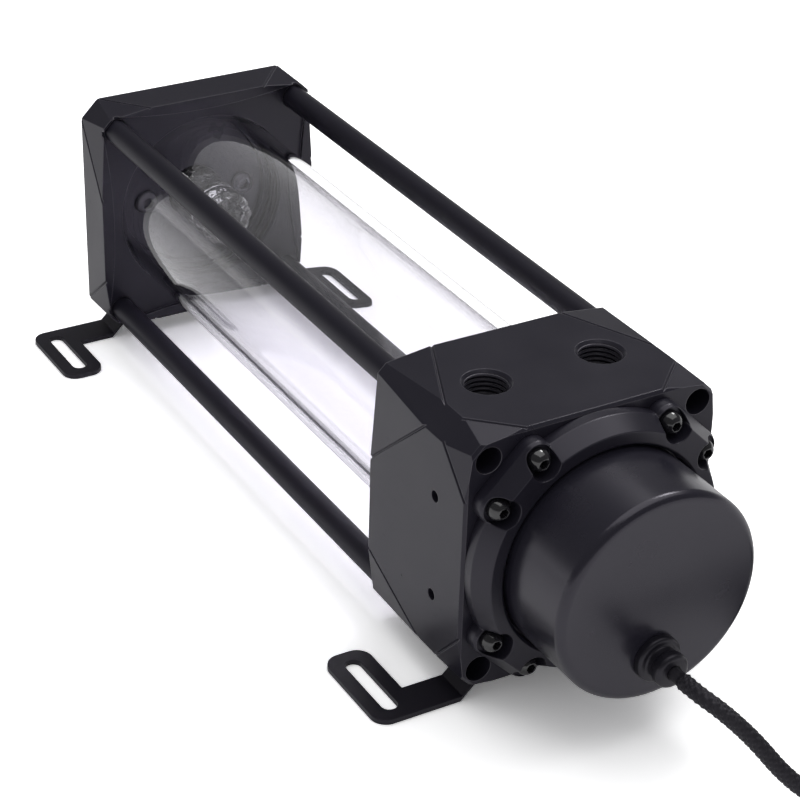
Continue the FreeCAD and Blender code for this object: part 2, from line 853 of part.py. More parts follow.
def make_reservoir_tube():
    """The clear tube, from its seat in the block to its seat in the cap."""
    body = new_body("reservoir_tube", on_axis(REAR_Y - S.tube_seat_block))
    outer = S.tube_diameter / 2
    inner = outer - S.tube_wall
    length = S.tube_exposed + S.tube_seat_block + S.tube_seat_cap
    edge = S.tube_edge
    points = [(inner, 0), (outer - edge, 0), (outer, edge), (outer, length - edge), (outer - edge, length),
              (inner, length)]
    spin(body, points)
    return keep(body)


def make_tube_seals():
    """The two seal rings round the tube's ends."""
    radius = S.tube_diameter / 2 + S.seal_section / 2 + S.seal_gap
    keep(put_label(torus(radius, S.seal_section, on_axis(REAR_Y - S.seal_from_mouth)), "tube_seal_front"))
    keep(put_label(torus(radius, S.seal_section, on_axis(CAP_Y + S.seal_from_mouth)), "tube_seal_rear"))


def put_label(thing, label):
    """Gives an object the name of its node."""
    thing.Label = label
    return thing


def make_tie_rods():
    """The four tie rods, tapped at both ends."""
    length = S.rod_pocket + S.tube_exposed + ROD_SEAT_CAP
    radius = S.rod_diameter / 2
    tap = S.rod_screw_diameter / 2 + S.screw_gap / 2
    edge = S.rod_edge
    points = [(0, S.rod_tap_depth), (tap, S.rod_tap_depth), (tap, 0), (radius - edge, 0), (radius, edge),
              (radius, length - edge), (radius - edge, length), (tap, length),
              (tap, length - S.rod_tap_depth), (0, length - S.rod_tap_depth)]
    for (x, z), (_, _, name) in zip(rod_places(), CORNERS):
        body = new_body(f"tie_rod_{name}", (x, REAR_Y - S.rod_pocket, z))
        spin(body, points)
        keep(body)


def screw(seat, facing, shank, length, head, head_height, hex_width, dome=False):
    """A socket screw whose head stands on its seat and faces the given way."""
    head_solid = cylinder(head / 2, head_height, seat, facing)
    if dome:
        bulge = (head * head / 4 + head_height * head_height) / (2 * head_height) * DOME_FLATNESS
        centre = step(seat, facing, head_height - bulge)
        head_solid = common(head_solid, sphere(bulge, centre))
    shank_solid = cylinder(shank / 2, length, seat, opposite(facing))
    depth = head_height * SOCKET_DEPTH_SHARE
    hollow = hexagon(hex_width, depth + 1, step(seat, facing, head_height - depth), facing)
    return cut(fuse([head_solid, shank_solid]), [hollow])


def make_rod_screws():
    """The socket screws that pull the block and the cap onto the tie rods."""
    fronts = []
    rears = []
    sizes = (S.rod_screw_head, S.rod_screw_head_height, S.rod_screw_hex)
    for x, z in rod_places():
        front_seat = (x, FRONT_Y + S.rod_recess_front, z)
        fronts.append(screw(front_seat, TO_FRONT, S.rod_screw_diameter, S.rod_screw_front_length, *sizes))
        rear_seat = (x, CAP_END_Y - S.rod_recess_rear, z)
        rears.append(screw(rear_seat, TO_REAR, S.rod_screw_diameter, S.rod_screw_rear_length, *sizes))
    keep(group(fronts, "rod_screws_front"))
    keep(group(rears, "rod_screws_rear"))


def lobe_outline():
    """Points and arcs round one lobe of the clamp ring: a band about two screws, closed inside the ring."""
    far = S.clamp_screw_far
    near = S.clamp_screw_near
    reach = S.clamp_pocket_radius + S.lobe_wall
    root = S.lobe_root_radius
    turn = math.atan2(near.value, far.value)
    sine = math.sin(turn)
    cosine = math.cos(turn)
    foot = root * math.sqrt(1 - (reach.value / root.value) ** 2)
    half = [(foot * cosine + reach * sine, foot * sine - reach * cosine),
            (far + reach * sine, near - reach * cosine),
            (far + reach * math.sqrt(0.5), near + reach * math.sqrt(0.5))]
    mirrored = [(rise, across) for across, rise in reversed(half)]
    return half + mirrored, {1: (reach, 1), 3: (reach, 1), 5: (root, -1)}


def make_clamp_ring():
    """The ring that clamps the pump to the block: a bevelled disc with four lobes for the screws."""
    body = new_body("clamp_ring_blank", on_axis(FRONT_Y))
    inner = S.housing_radius + S.ring_inner_gap
    edge = S.ring_inner_edge
    thick = S.ring_thickness
    radius = S.ring_radius
    points = [(inner, 0), (radius, 0), (radius, -S.ring_side), (radius - S.ring_slope, -thick),
              (inner + edge, -thick), (inner, edge - thick)]
    spin(body, points)
    points, arcs = lobe_outline()
    lower = pad(body, outline(body, "XZ_Plane", points, arcs), S.ring_side)
    slope = math.degrees(math.atan2(S.ring_slope.value, (S.ring_thickness - S.ring_side).value))
    upper_sketch = outline(body, "XZ_Plane", points, arcs, lift=S.ring_side)
    upper = pad(body, upper_sketch, thick - S.ring_side, taper=-slope)
    repeat_around(body, [lower, upper], 4)
    recess = S.flange_radius + S.head_gap
    spin_cut(body, [(inner - 1, 1), (recess, 1), (recess, -S.flange_thickness), (inner - 1, -S.flange_thickness)])
    tools = []
    hole_radius = S.clamp_screw_diameter / 2 + S.screw_gap
    for x, z in clamp_screw_places():
        floor = (x, FRONT_Y - S.clamp_pocket_floor, z)
        tools.append(cylinder(S.clamp_pocket_radius, thick, floor, TO_FRONT))
        tools.append(cylinder(hole_radius, thick, (x, FRONT_Y, z), TO_FRONT))
    return keep(cut(body, tools, "clamp_ring"))


def make_clamp_screws():
    """The eight domed screws in the clamp ring's pockets."""
    made = []
    for x, z in clamp_screw_places():
        seat = (x, FRONT_Y - S.clamp_pocket_floor, z)
        made.append(screw(seat, TO_FRONT, S.clamp_screw_diameter, S.clamp_screw_length, S.clamp_screw_head,
                          S.clamp_screw_head_height, S.clamp_screw_hex, dome=True))
    return keep(group(made, "clamp_screws"))


def make_pump_housing():
    """The motor housing: a cup with a rounded end, a clamped flange and posts for the board."""
    body = new_body("pump_housing", on_axis(FRONT_Y))
    radius = S.housing_radius
    inner = HOUSING_INNER
    end = S.pump_length
    edge = S.housing_edge
    inside_end = end - S.housing_end
    points = [(0, -end), (radius - edge, -end), (radius, edge - end), (radius, -S.flange_thickness),
              (S.flange_radius, -S.flange_thickness), (S.flange_radius, 0), (inner, 0), (inner, -inside_end),
              (0, -inside_end)]
    spin(body, points, {1: (edge, 1)})
    for number in range(3):
        angle = math.radians(90 + 120 * number)
        across = POST_CIRCLE * math.cos(angle)
        rise = POST_CIRCLE * math.sin(angle)
        at = (across, -inside_end, rise)
        round_tool(body, "Additive", S.board_post_radius, S.board_post, at, TO_REAR)
    hole = (ZERO, -end - 1, -S.grommet_drop)
    radius = S.grommet_neck_radius + S.screw_gap / 2
    round_tool(body, "Subtractive", radius, S.housing_end + 2, hole, TO_REAR)
    return keep(body)


def make_pump_seal():
    """The seal ring between the pump's flange and the block."""
    at = on_axis(FRONT_Y + (S.pump_seal_section + S.seal_groove_gap) / 2)
    return keep(put_label(torus(S.pump_seal_radius, S.pump_seal_section, at), "pump_seal"))


def make_cable_grommet():
    """The stepped rubber grommet that leads the cable out of the pump's end face."""
    body = new_body("cable_grommet", (ZERO, PUMP_END_Y, S.axis_height - S.grommet_drop))
    bore = S.grommet_bore / 2
    flange = S.grommet_flange
    collar = flange + S.grommet_collar
    soft = S.grommet_edge
    points = [(bore, -S.grommet_length), (S.grommet_tip_radius, -S.grommet_length),
              (S.grommet_collar_radius, -collar), (S.grommet_collar_radius, -flange),
              (S.grommet_flange_radius - soft, -flange), (S.grommet_flange_radius, soft - flange),
              (S.grommet_flange_radius, 0), (S.grommet_neck_radius, 0), (S.grommet_neck_radius, S.housing_end),
              (S.grommet_inner_radius, S.housing_end), (S.grommet_inner_radius, S.housing_end + S.grommet_inner),
              (bore, S.housing_end + S.grommet_inner)]
    spin(body, points)
    return keep(body)


def make_separation_can():
    """The thin bowl that keeps the coolant off the stator, with the seat of the bearing pin."""
    body = new_body("separation_can", on_axis(FRONT_Y))
    inner = S.can_inner_radius
    outer = inner + S.can_wall
    centre = S.ball_depth
    flange = HOUSING_INNER - S.can_flange_gap
    points = [(0, -centre - outer), (outer, -centre), (outer, -S.can_flange), (flange, -S.can_flange),
              (flange, 0), (inner, 0), (inner, -centre), (0, -centre - inner)]
    spin(body, points, {0: (outer, 1), 6: (inner, -1)})
    at = (ZERO, -centre - inner - S.can_wall / 2, ZERO)
    round_tool(body, "Additive", S.pin_radius * PIN_SEAT_SHARE, S.can_wall / 2 + S.pin_seat, at, TO_REAR)
    hole = (ZERO, -centre - inner, ZERO)
    round_tool(body, "Subtractive", S.pin_radius + S.screw_gap / 2, S.pin_seat + 1, hole, TO_REAR)
    return keep(body)


def make_bearing():
    """The fixed pin and the ceramic ball that the rotor's cup rides on."""
    ball_y = FRONT_Y - S.ball_depth
    pin_top = ball_y - S.ball_radius * PIN_SINK_SHARE
    pin_bottom = ball_y - S.can_inner_radius
    pin = cylinder(S.pin_radius, pin_top - pin_bottom, on_axis(pin_bottom), TO_REAR)
    keep(put_label(pin, "bearing_pin"))
    hole = cylinder(S.pin_radius + S.screw_gap / 2, S.ball_radius, on_axis(pin_top), TO_FRONT)
    keep(cut(sphere(S.ball_radius, on_axis(ball_y)), [hole], "bearing_ball"))


def make_bearing_cup():
    """The cup in the rotor that rides on the ball."""
    body = new_body("bearing_cup", on_axis(FRONT_Y - S.ball_depth))
    hollow = S.ball_radius + S.cup_gap
    points = [(hollow, 0), (S.cup_radius, 0), (S.cup_radius, S.cup_length), (0, S.cup_length), (0, hollow)]
    spin(body, points, {4: (hollow, -1)})
    return keep(body)


def make_rotor_magnet():
    """The dome-shaped magnet that turns inside the can."""
    body = new_body("rotor_magnet", on_axis(FRONT_Y - S.ball_depth))
    radius = S.can_inner_radius - S.rotor_gap
    bore = S.magnet_bore_radius
    drop = (radius * radius - bore * bore).root()
    points = [(bore, -drop), (radius, 0), (bore, 0)]
    spin(body, points, {0: (radius, 1)})
    return keep(body)


def make_impeller():
    """The impeller: carrier, neck, plate, nose and backward-curved vanes."""
    body = new_body("impeller", on_axis(FRONT_Y))
    bottom = -S.ball_depth
    carrier = S.can_inner_radius - S.carrier_gap
    carrier_top = bottom + S.carrier_thickness
    bore = S.cup_radius + S.screw_gap / 2
    plate = S.impeller_lift
    top = plate + S.plate_thickness
    points = [(bore, bottom), (carrier, bottom), (carrier, carrier_top), (S.neck_radius, carrier_top),
              (S.neck_radius, plate), (S.impeller_radius, plate), (S.impeller_radius, top),
              (S.hub_radius, top), (S.nose_radius, top + S.nose_height), (0, top + S.nose_height),
              (0, bottom + S.cup_length), (bore, bottom + S.cup_length)]
    spin(body, points)
    vane = pad(body, vane_outline(body, top), S.vane_height, backwards=True)
    repeat_around(body, [vane], IMPELLER_VANES)
    return keep(body)


def vane_outline(body, height):
    """One vane's section between its inner and outer radius, bounded by two arcs."""
    sweep = math.radians(S.vane_sweep.value)
    tip_angle = sweep * 1.2
    inner = S.vane_inner_radius
    outer = S.impeller_radius - S.vane_edge_gap
    half = S.vane_thickness / 2
    end_across = outer * math.cos(sweep)
    end_rise = outer * math.sin(sweep)
    step_across = half * math.sin(tip_angle)
    step_rise = half * math.cos(tip_angle)
    points = [(inner, -half), (end_across + step_across, end_rise - step_rise),
              (end_across - step_across, end_rise + step_rise), (inner, half)]
    arcs = {0: (S.vane_arc + half, 1), 2: (S.vane_arc - half, -1)}
    return outline(body, "XZ_Plane", points, arcs, lift=-height)


def make_stator():
    """The stator core with its poles, and the windings on them."""
    outer = HOUSING_INNER - S.stator_gap
    inner = outer - S.stator_yoke
    top = -S.stator_from_face
    body = new_body("stator_core", on_axis(FRONT_Y))
    spin(body, [(inner, top), (outer, top), (outer, top - S.stator_length), (inner, top - S.stator_length)])
    pole_inner = S.can_inner_radius + S.can_wall + S.pole_air
    made = body.newObject("PartDesign::AdditiveBox", "stator_pole")
    bind(made, Length=inner - pole_inner + 0.5, Width=S.pole_length, Height=S.pole_width)
    pole_y = top - S.stator_length / 2 - S.pole_length / 2
    put(made, (pole_inner, pole_y, -S.pole_width / 2))
    finish_feature(body, made)
    repeat_around(body, [made], STATOR_POLES)
    keep(body)
    coils = [winding(pole_inner, inner, pole_y, number) for number in range(STATOR_POLES)]
    keep(group(coils, "stator_windings"))


def winding(pole_inner, yoke_inner, pole_y, number):
    """One coil round one pole, as deep as the room up to the yoke lets it be."""
    radial = pole_inner + S.coil_from_pole_tip
    wide = S.pole_width + 2 * S.coil_overhang
    reach = yoke_inner - 2 * S.coil_gap
    depth = (reach * reach - wide * wide / 4).root() - radial
    tall = S.pole_length + 2 * S.coil_overhang
    gap = S.coil_gap
    turn = Rotation(Vector(0, 1, 0), 360.0 * number / STATOR_POLES)
    outside = turned_box(depth, tall, wide, radial, pole_y - S.coil_overhang, turn)
    inside = turned_box(depth, S.pole_length + 2 * gap, S.pole_width + 2 * gap, radial, pole_y - gap, turn)
    return cut(outside, [inside])


def turned_box(depth, tall, wide, radial, low_y, turn):
    """A box centred on a radius that is turned about the pump's axis."""
    made = DOC.addObject("Part::Box", "coil_box")
    bind(made, Length=depth, Width=tall, Height=wide)
    corner = turn.multVec(Vector(radial.value, low_y.value, -wide.value / 2))
    made.Placement = Placement(corner + Vector(0, FRONT_Y.value, S.axis_height.value), turn)
    return made


def make_control_board():
    """The round circuit board behind the stator, with its larger components."""
    board_y = PUMP_END_Y + S.housing_end + S.board_post
    disc = cylinder(BOARD_RADIUS, S.board_thickness, on_axis(board_y), TO_REAR)
    keep(put_label(disc, "control_board"))
    face = board_y + S.board_thickness
    made = []
    for side in (-1, 1):
        at = (side * S.capacitor_across, face, S.axis_height - S.capacitor_drop)
        made.append(cylinder(S.capacitor_radius, S.capacitor_height, at, TO_REAR))
    chip = (-S.chip_width / 2, face, S.axis_height + S.chip_rise)
    made.append(block(S.chip_width, S.chip_height, S.chip_width, chip))
    socket = (-S.socket_width / 2, face, S.axis_height - S.socket_drop)
    made.append(block(S.socket_width, S.socket_height, S.socket_depth, socket))
    keep(group(made, "board_components"))


def make_cap_insert():
    """The turned disc that holds the light plug in the cap, and its two screws."""
    face = CAP_Y + S.insert_face_depth
    disc = cylinder(S.cap_bore / 2 - S.insert_gap, S.insert_thickness, on_axis(face), TO_REAR)
    tools = [cylinder(S.plug_radius + S.screw_gap, S.insert_thickness, on_axis(face), TO_REAR)]
    screws = []
    for way in (-1, 1):
        at = (way * S.insert_screw_spacing / 2, face, S.axis_height)
        tools.append(cylinder(S.insert_screw_diameter / 2 + S.screw_gap, S.insert_thickness, at, TO_REAR))
        screws.append(screw(at, TO_FRONT, S.insert_screw_diameter, S.insert_screw_length, S.insert_screw_head,
                            S.insert_screw_head_height, S.insert_screw_hex, dome=True))
    keep(cut(disc, tools, "cap_insert"))
    keep(group(screws, "insert_screws"))


def make_light_plug():
    """The clear plug in the middle of the cap, bored from behind for a lamp, and its seal ring."""
    body = new_body("light_plug", on_axis(CAP_Y))
    shoulder = S.insert_face_depth + S.insert_thickness
    back = shoulder + S.plug_flange
    radius = S.plug_radius
    bore = S.lamp_bore / 2
    groove = S.plug_groove_from_cap
    groove_radius = radius - S.plug_groove_depth
    reach = S.plug_reach
    points = [(bore, back), (S.plug_flange_radius, back), (S.plug_flange_radius, shoulder), (radius, shoulder),
              (radius, -groove), (groove_radius, -groove), (groove_radius, -groove - S.plug_groove_width),
              (radius, -groove - S.plug_groove_width), (radius, S.plug_edge - reach),
              (radius - S.plug_edge, -reach), (0, S.plug_dish - reach), (0, back - S.lamp_depth),
              (bore, back - S.lamp_depth)]
    spin(body, points)
    keep(body)
    at = on_axis(CAP_Y + back + (S.plug_seal_section + S.seal_groove_gap) / 2)
    keep(put_label(torus(S.plug_seal_radius, S.plug_seal_section, at), "light_plug_seal"))


def rounded_box_outline(body, left, right, low, high, corner):
    """A rectangle with round corners, in the XY plane, walked anticlockwise."""
    points = [(left + corner, low), (right - corner, low), (right, low + corner), (right, high - corner),
              (right - corner, high), (left + corner, high), (left, high - corner), (left, low + corner)]
    return outline(body, "XY_Plane", points, {number: (corner, 1) for number in (1, 3, 5, 7)})


def make_feet():
    """The four bent brackets: a flange under the body, a slope, an arm and a slotted pad."""
    sheet = S.foot_sheet
    under = S.axis_height - HALF_WIDTH
    drop = under - sheet
    lean = sheet * math.tan(math.radians(22.5))
    bend = S.foot_bend_x
    inner_bend = bend - drop
    flange = S.foot_flange_inner_x
    pad_inner = S.foot_reach - S.foot_pad_width
    arm_end = pad_inner + S.foot_pad_corner
    for side, way, edge, name in foot_places():
        body = new_body(f"foot_{name}", (ZERO, edge, ZERO))
        points = [(arm_end, 0), (arm_end, sheet), (bend, sheet), (inner_bend, under), (flange, under),
                  (flange, under - sheet), (inner_bend + lean, under - sheet), (bend + lean, 0)]
        points = [(side * across, rise) for across, rise in points]
        pad(body, outline(body, "XZ_Plane", points), S.foot_arm_width, backwards=way > 0)
        across = sorted((side * pad_inner, side * S.foot_reach), key=lambda part: part.value)
        along = sorted((ZERO, way * S.foot_pad_length), key=lambda part: part.value)
        pad(body, rounded_box_outline(body, *across, *along, S.foot_pad_corner), sheet)
        slot_half = S.foot_slot_width / 2
        middle_x = side * (S.foot_reach - S.foot_pad_width / 2)
        middle_y = way * S.foot_pad_length / 2
        slot_low = middle_y - S.foot_slot_length / 2 + slot_half
        slot_high = middle_y + S.foot_slot_length / 2 - slot_half
        points = [(middle_x + slot_half, slot_low), (middle_x + slot_half, slot_high),
                  (middle_x - slot_half, slot_high), (middle_x - slot_half, slot_low)]
        arcs = {1: (None, 1), 3: (None, 1)}
        before = body.Shape.Volume
        pocket(body, outline(body, "XY_Plane", points, arcs), sheet, backwards=True)
        if body.Shape.Volume > before - 50:
            raise RuntimeError("a foot's slot cut nothing")
        hole = (side * S.foot_screw_x, way * S.foot_arm_width / 2, under - sheet - 1)
        radius = S.foot_screw_diameter / 2 + S.screw_gap
        round_tool(body, "Subtractive", radius, sheet + 2, hole, UP)
        keep(body)


def make_foot_screws():
    """The four domed screws that hold the feet."""
    made = []
    for x, y in foot_screw_places():
        seat = (x, y, S.axis_height - HALF_WIDTH - S.foot_sheet)
        made.append(screw(seat, DOWN, S.foot_screw_diameter, S.foot_screw_length, S.foot_screw_head,
                          S.foot_screw_head_height, S.foot_screw_hex, dome=True))
    return keep(group(made, "foot_screws"))


def lead_route():
    """The lead's route from the grommet's tip to the coil, as points chosen by hand.

    Each step is the way right, the way out, and the share of the tip's height over the lead's
    resting height.
    """
    rest = S.lead_diameter.value / 2
    drop = (S.axis_height - S.grommet_drop).value - rest
    steps = [(0.0, 0.0, 1.0), (0.0, -8.2, 1.0), (3.4, -16.35, 0.907), (8.6, -22.95, 0.654),
             (13.2, -29.15, 0.342), (19.0, -34.95, 0.11), (28.0, -38.35, 0.0), (40.0, -38.75, 0.0),
             (52.5, -37.95, 0.0), (65.0, -38.75, 0.0), (78.0, -38.75, 0.0)]
    return [Vector(right, TIP_Y.value + out, rest + share * drop) for right, out, share in steps]


def lead_path(route):
    """Straight runs joined by tangent arcs, and the radius of each arc."""
    edges = []
    radii = []
    here = route[0]
    for before, corner, after in zip(route, route[1:], route[2:]):
        come = corner - before
        go = after - corner
        turn = come.getAngle(go)
        shorter = min(come.Length, go.Length)
        back = BEND_SHARE * shorter
        radius = back / math.tan(turn / 2)
        start = corner - come.normalize() * back
        end = corner + go.normalize() * back
        towards = ((start + end) * 0.5 - corner).normalize()
        middle = corner + towards * (math.hypot(back, radius) - radius)
        edges.append(Part.LineSegment(here, start).toShape())
        edges.append(Part.Arc(start, middle, end).toShape())
        radii.append(radius)
        here = end
    edges.append(Part.LineSegment(here, route[-1]).toShape())
    return Part.Wire(edges), radii


def make_lead_entry():
    """The bare cable that runs from the board through the grommet to the sleeved lead."""
    z = S.axis_height - S.grommet_drop
    length = S.grommet_length + S.housing_end + S.board_post
    entry = cylinder(S.grommet_bore / 2 - S.head_gap, length, (ZERO, TIP_Y, z), TO_REAR)
    return keep(put_label(entry, "lead_entry"))


def make_pump_lead():
    """The sleeved lead from the grommet along the standing surface to the coil."""
    route = lead_route()
    path, radii = lead_path(route)
    print("lead arc radii", [round(radius, 1) for radius in radii], "length", round(path.Length, 1))
    radius = S.lead_diameter.value / 2
    circle = Part.makeCircle(radius, route[0], (route[1] - route[0]).normalize())
    solid = path.makePipeShell([Part.Wire([circle])], True, True)
    expected = math.pi * radius ** 2 * path.Length
    print("lead volume over section times length", round(solid.Volume / expected, 4))
    made = DOC.addObject("Part::Feature", "pump_lead")
    made.Shape = solid
    return keep(made)


def coil_place():
    """The centre of the lead's coil on the standing surface."""
    outer_turn = S.coil_inner_turn + S.lead_diameter * (COIL_RINGS - 1)
    end = lead_route()[-1]
    return (S.coil_centre_x, measure(end.y) + outer_turn), outer_turn


def make_lead_coil():
    """The closed outer shape of the lead's neat coil."""
    (x, y), outer_turn = coil_place()
    radius = S.lead_diameter / 2
    height = S.lead_diameter * COIL_LAYERS
    outside = cylinder(outer_turn + radius, height, (x, y, ZERO))
    inside = cylinder(S.coil_inner_turn - radius, height, (x, y, ZERO))
    return keep(cut(outside, [inside], "lead_coil"))


def make_lead_connector():
    """The four-way connector that lies inside the coil, and the short tail that enters it."""
    (x, y), _ = coil_place()
    left = x + S.connector_from_centre
    low_y = y - S.connector_length / 2
    shell = block(S.connector_width, S.connector_length, S.connector_height, (left, low_y, ZERO))
    tools = []
    pitch = S.connector_width / 2
    for across in (0, 1):
        for rise in (0, 1):
            at = (left + pitch * (across + 0.5), low_y + S.connector_length,
                  S.connector_height / 2 * (rise + 0.5))
            tools.append(cylinder(S.connector_contact_bore / 2, S.connector_contact_depth, at, TO_FRONT))
    keep(cut(shell, tools, "lead_connector"))
    tail_x = left + S.connector_width / 2
    inside = S.coil_inner_turn - S.lead_diameter / 2
    reach = (inside * inside - (tail_x - x) * (tail_x - x)).root()
    length = reach + 1 - S.connector_length / 2
    tail = cylinder(S.lead_diameter / 2, length, (tail_x, low_y, S.connector_height / 2), TO_FRONT)
    keep(put_label(tail, "lead_tail"))


def check_document():
    """Stops with a message if any object failed or a sub-part has no valid shape."""
    DOC.recompute()
    for thing in DOC.Objects:
        if "Invalid" in thing.State or "Error" in thing.State:
            raise RuntimeError(f"{thing.Name} failed: {thing.State}")
    labels = [node.Label for node in NODES]
    if len(labels) != len(set(labels)):
        raise RuntimeError("two sub-parts share a name")
    for node in NODES:
        if node.Shape.isNull() or not node.Shape.isValid() or not node.Shape.Solids:
            raise RuntimeError(f"{node.Label} has no valid solid")


def write_parts():
    """Writes one STEP file for each sub-part."""
    os.makedirs("parts", exist_ok=True)
    for node in NODES:
        node.Shape.exportStep(f"parts/{node.Label}.step")
        box = node.Shape.BoundBox
        corners = [round(part, 1) for part in (box.XMin, box.YMin, box.ZMin, box.XMax, box.YMax, box.ZMax)]
        print(node.Label, len(node.Shape.Solids), corners)


make_pump_top()
make_end_cap()
make_reservoir_tube()
make_tube_seals()
make_tie_rods()
make_rod_screws()
make_clamp_ring()
make_clamp_screws()
make_pump_housing()
make_pump_seal()
make_cable_grommet()
make_separation_can()
make_bearing()
make_bearing_cup()
make_rotor_magnet()
make_impeller()
make_stator()
make_control_board()
make_cap_insert()
make_light_plug()
make_feet()
make_foot_screws()
make_lead_entry()
make_pump_lead()
make_lead_coil()
make_lead_connector()
check_document()
write_parts()
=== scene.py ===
import logging
import math
from collections.abc import Sequence
from dataclasses import dataclass
from enum import Enum
from functools import cache

import bmesh
import bpy
import numpy as np
from mathutils import Matrix, Vector


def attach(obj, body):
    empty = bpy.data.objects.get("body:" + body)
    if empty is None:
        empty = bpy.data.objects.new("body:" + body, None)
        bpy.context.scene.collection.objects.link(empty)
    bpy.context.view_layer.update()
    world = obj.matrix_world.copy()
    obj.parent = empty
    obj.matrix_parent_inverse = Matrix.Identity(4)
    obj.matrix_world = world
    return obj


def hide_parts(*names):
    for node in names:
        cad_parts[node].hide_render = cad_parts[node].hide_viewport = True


# Looks of a coolant pump reservoir: a motor pump clamped to a square block, a clear tube between
# the block and an end cap, tie rods, slotted feet and a sleeved lead. Lengths are metres, +Y runs
# from the pump to the cap and +Z is up.
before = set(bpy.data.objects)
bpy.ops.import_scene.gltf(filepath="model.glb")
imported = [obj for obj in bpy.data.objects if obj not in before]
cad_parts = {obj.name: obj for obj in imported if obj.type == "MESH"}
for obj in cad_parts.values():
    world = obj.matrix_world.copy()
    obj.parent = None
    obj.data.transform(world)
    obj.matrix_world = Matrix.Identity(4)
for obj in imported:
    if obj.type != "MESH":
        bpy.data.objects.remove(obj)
LOG = logging.getLogger("coolant_pump_reservoir")
BODY = "assembly"
MM = 0.001

# Places that several pieces share. PAIR_X is how far the ports and the insert's screws lie from the middle
AXIS_Z = 43.0 * MM
TIP_Y = -138.25 * MM
PUMP_END_Y = -130.25 * MM
FRONT_Y = -97.95 * MM
CAP_END_Y = 138.25 * MM
HALF_WIDTH = 37.5 * MM
PAIR_X = 17.25 * MM
ROD_OFFSET = 31.25 * MM

# How all finishes vary: patches and scuffs to a metre, and the noise at which scuffs and edges begin
PATCH_SCALE = 55.0
SCUFF_SCALE = (900.0, 260.0, 700.0)
SCUFF_RANGE = (0.62, 0.75)
EDGE_RANGE = (0.01, 0.15)
ROUGHNESS_SWING = 0.16
HEIGHT_SHARE = 0.3
EDGE_SAMPLES = 8
BRAID_RIDGES = 48.0

# The step between points of the lead's line, how far apart points are merged, the angle up to which
# neighbouring triangles are one flat face, and the least sine and length to divide by
LINE_STEP = 0.25 * MM
MERGE_FINE = 1e-7
MERGE_SOLID = 1e-6
FLAT_DEGREES = 0.3
LEAST_SINE = 1e-6
TINY = 1e-9

Point = tuple[float, float, float]
Colour = tuple[float, float, float]
Range = tuple[float, float]


class Signal:
    """One output of a material's nodes, which takes part in sums as a number does."""

    def __init__(self, graph: "Graph", socket: bpy.types.NodeSocket | None) -> None:
        """Keeps the socket and the graph that it belongs to."""
        self.graph = graph
        self.socket = socket

    def math(self, operation: str, *others: "Signal | float") -> "Signal":
        """Adds a Math node with this value first.

        Args:
            operation: the node's operation.
            others: the values after this one.

        Returns:
            The node's result.
        """
        return self.graph.add("ShaderNodeMath", {"operation": operation}, dict(enumerate((self, *others))))

    def __add__(self, other: "Signal | float") -> "Signal":
        """Sum."""
        return self.math("ADD", other)

    __radd__ = __add__

    def __mul__(self, other: "Signal | float") -> "Signal":
        """Product."""
        return self.math("MULTIPLY", other)

    __rmul__ = __mul__

    def __sub__(self, other: "Signal | float") -> "Signal":
        """Difference."""
        return self.math("SUBTRACT", other)

    def __rsub__(self, other: float) -> "Signal":
        """Difference from a number."""
        return self * -1.0 + other

    def __abs__(self) -> "Signal":
        """Size without sign."""
        return self.math("ABSOLUTE")

    def sine(self) -> "Signal":
        """Sine of an angle in radians."""
        return self.math("SINE")

    def root(self) -> "Signal":
        """Square root."""
        return self.math("SQRT")

    def least(self, other: "Signal | float") -> "Signal":
        """The lower of two values."""
        return self.math("MINIMUM", other)

    def most(self, other: "Signal | float") -> "Signal":
        """The higher of two values."""
        return self.math("MAXIMUM", other)

    def rise(self, low: float, high: float) -> "Signal":
        """A smooth step from 0 at low to 1 at high, t x t x (3 - 2 t) of the share t between them."""
        inputs = {"Value": self, "From Min": low, "From Max": high}
        return self.graph.add("ShaderNodeMapRange", {"interpolation_type": "SMOOTHSTEP"}, inputs)

    def output(self, name: str) -> "Signal":
        """Another output of the same node."""
        return Signal(self.graph, self.socket.node.outputs[name])


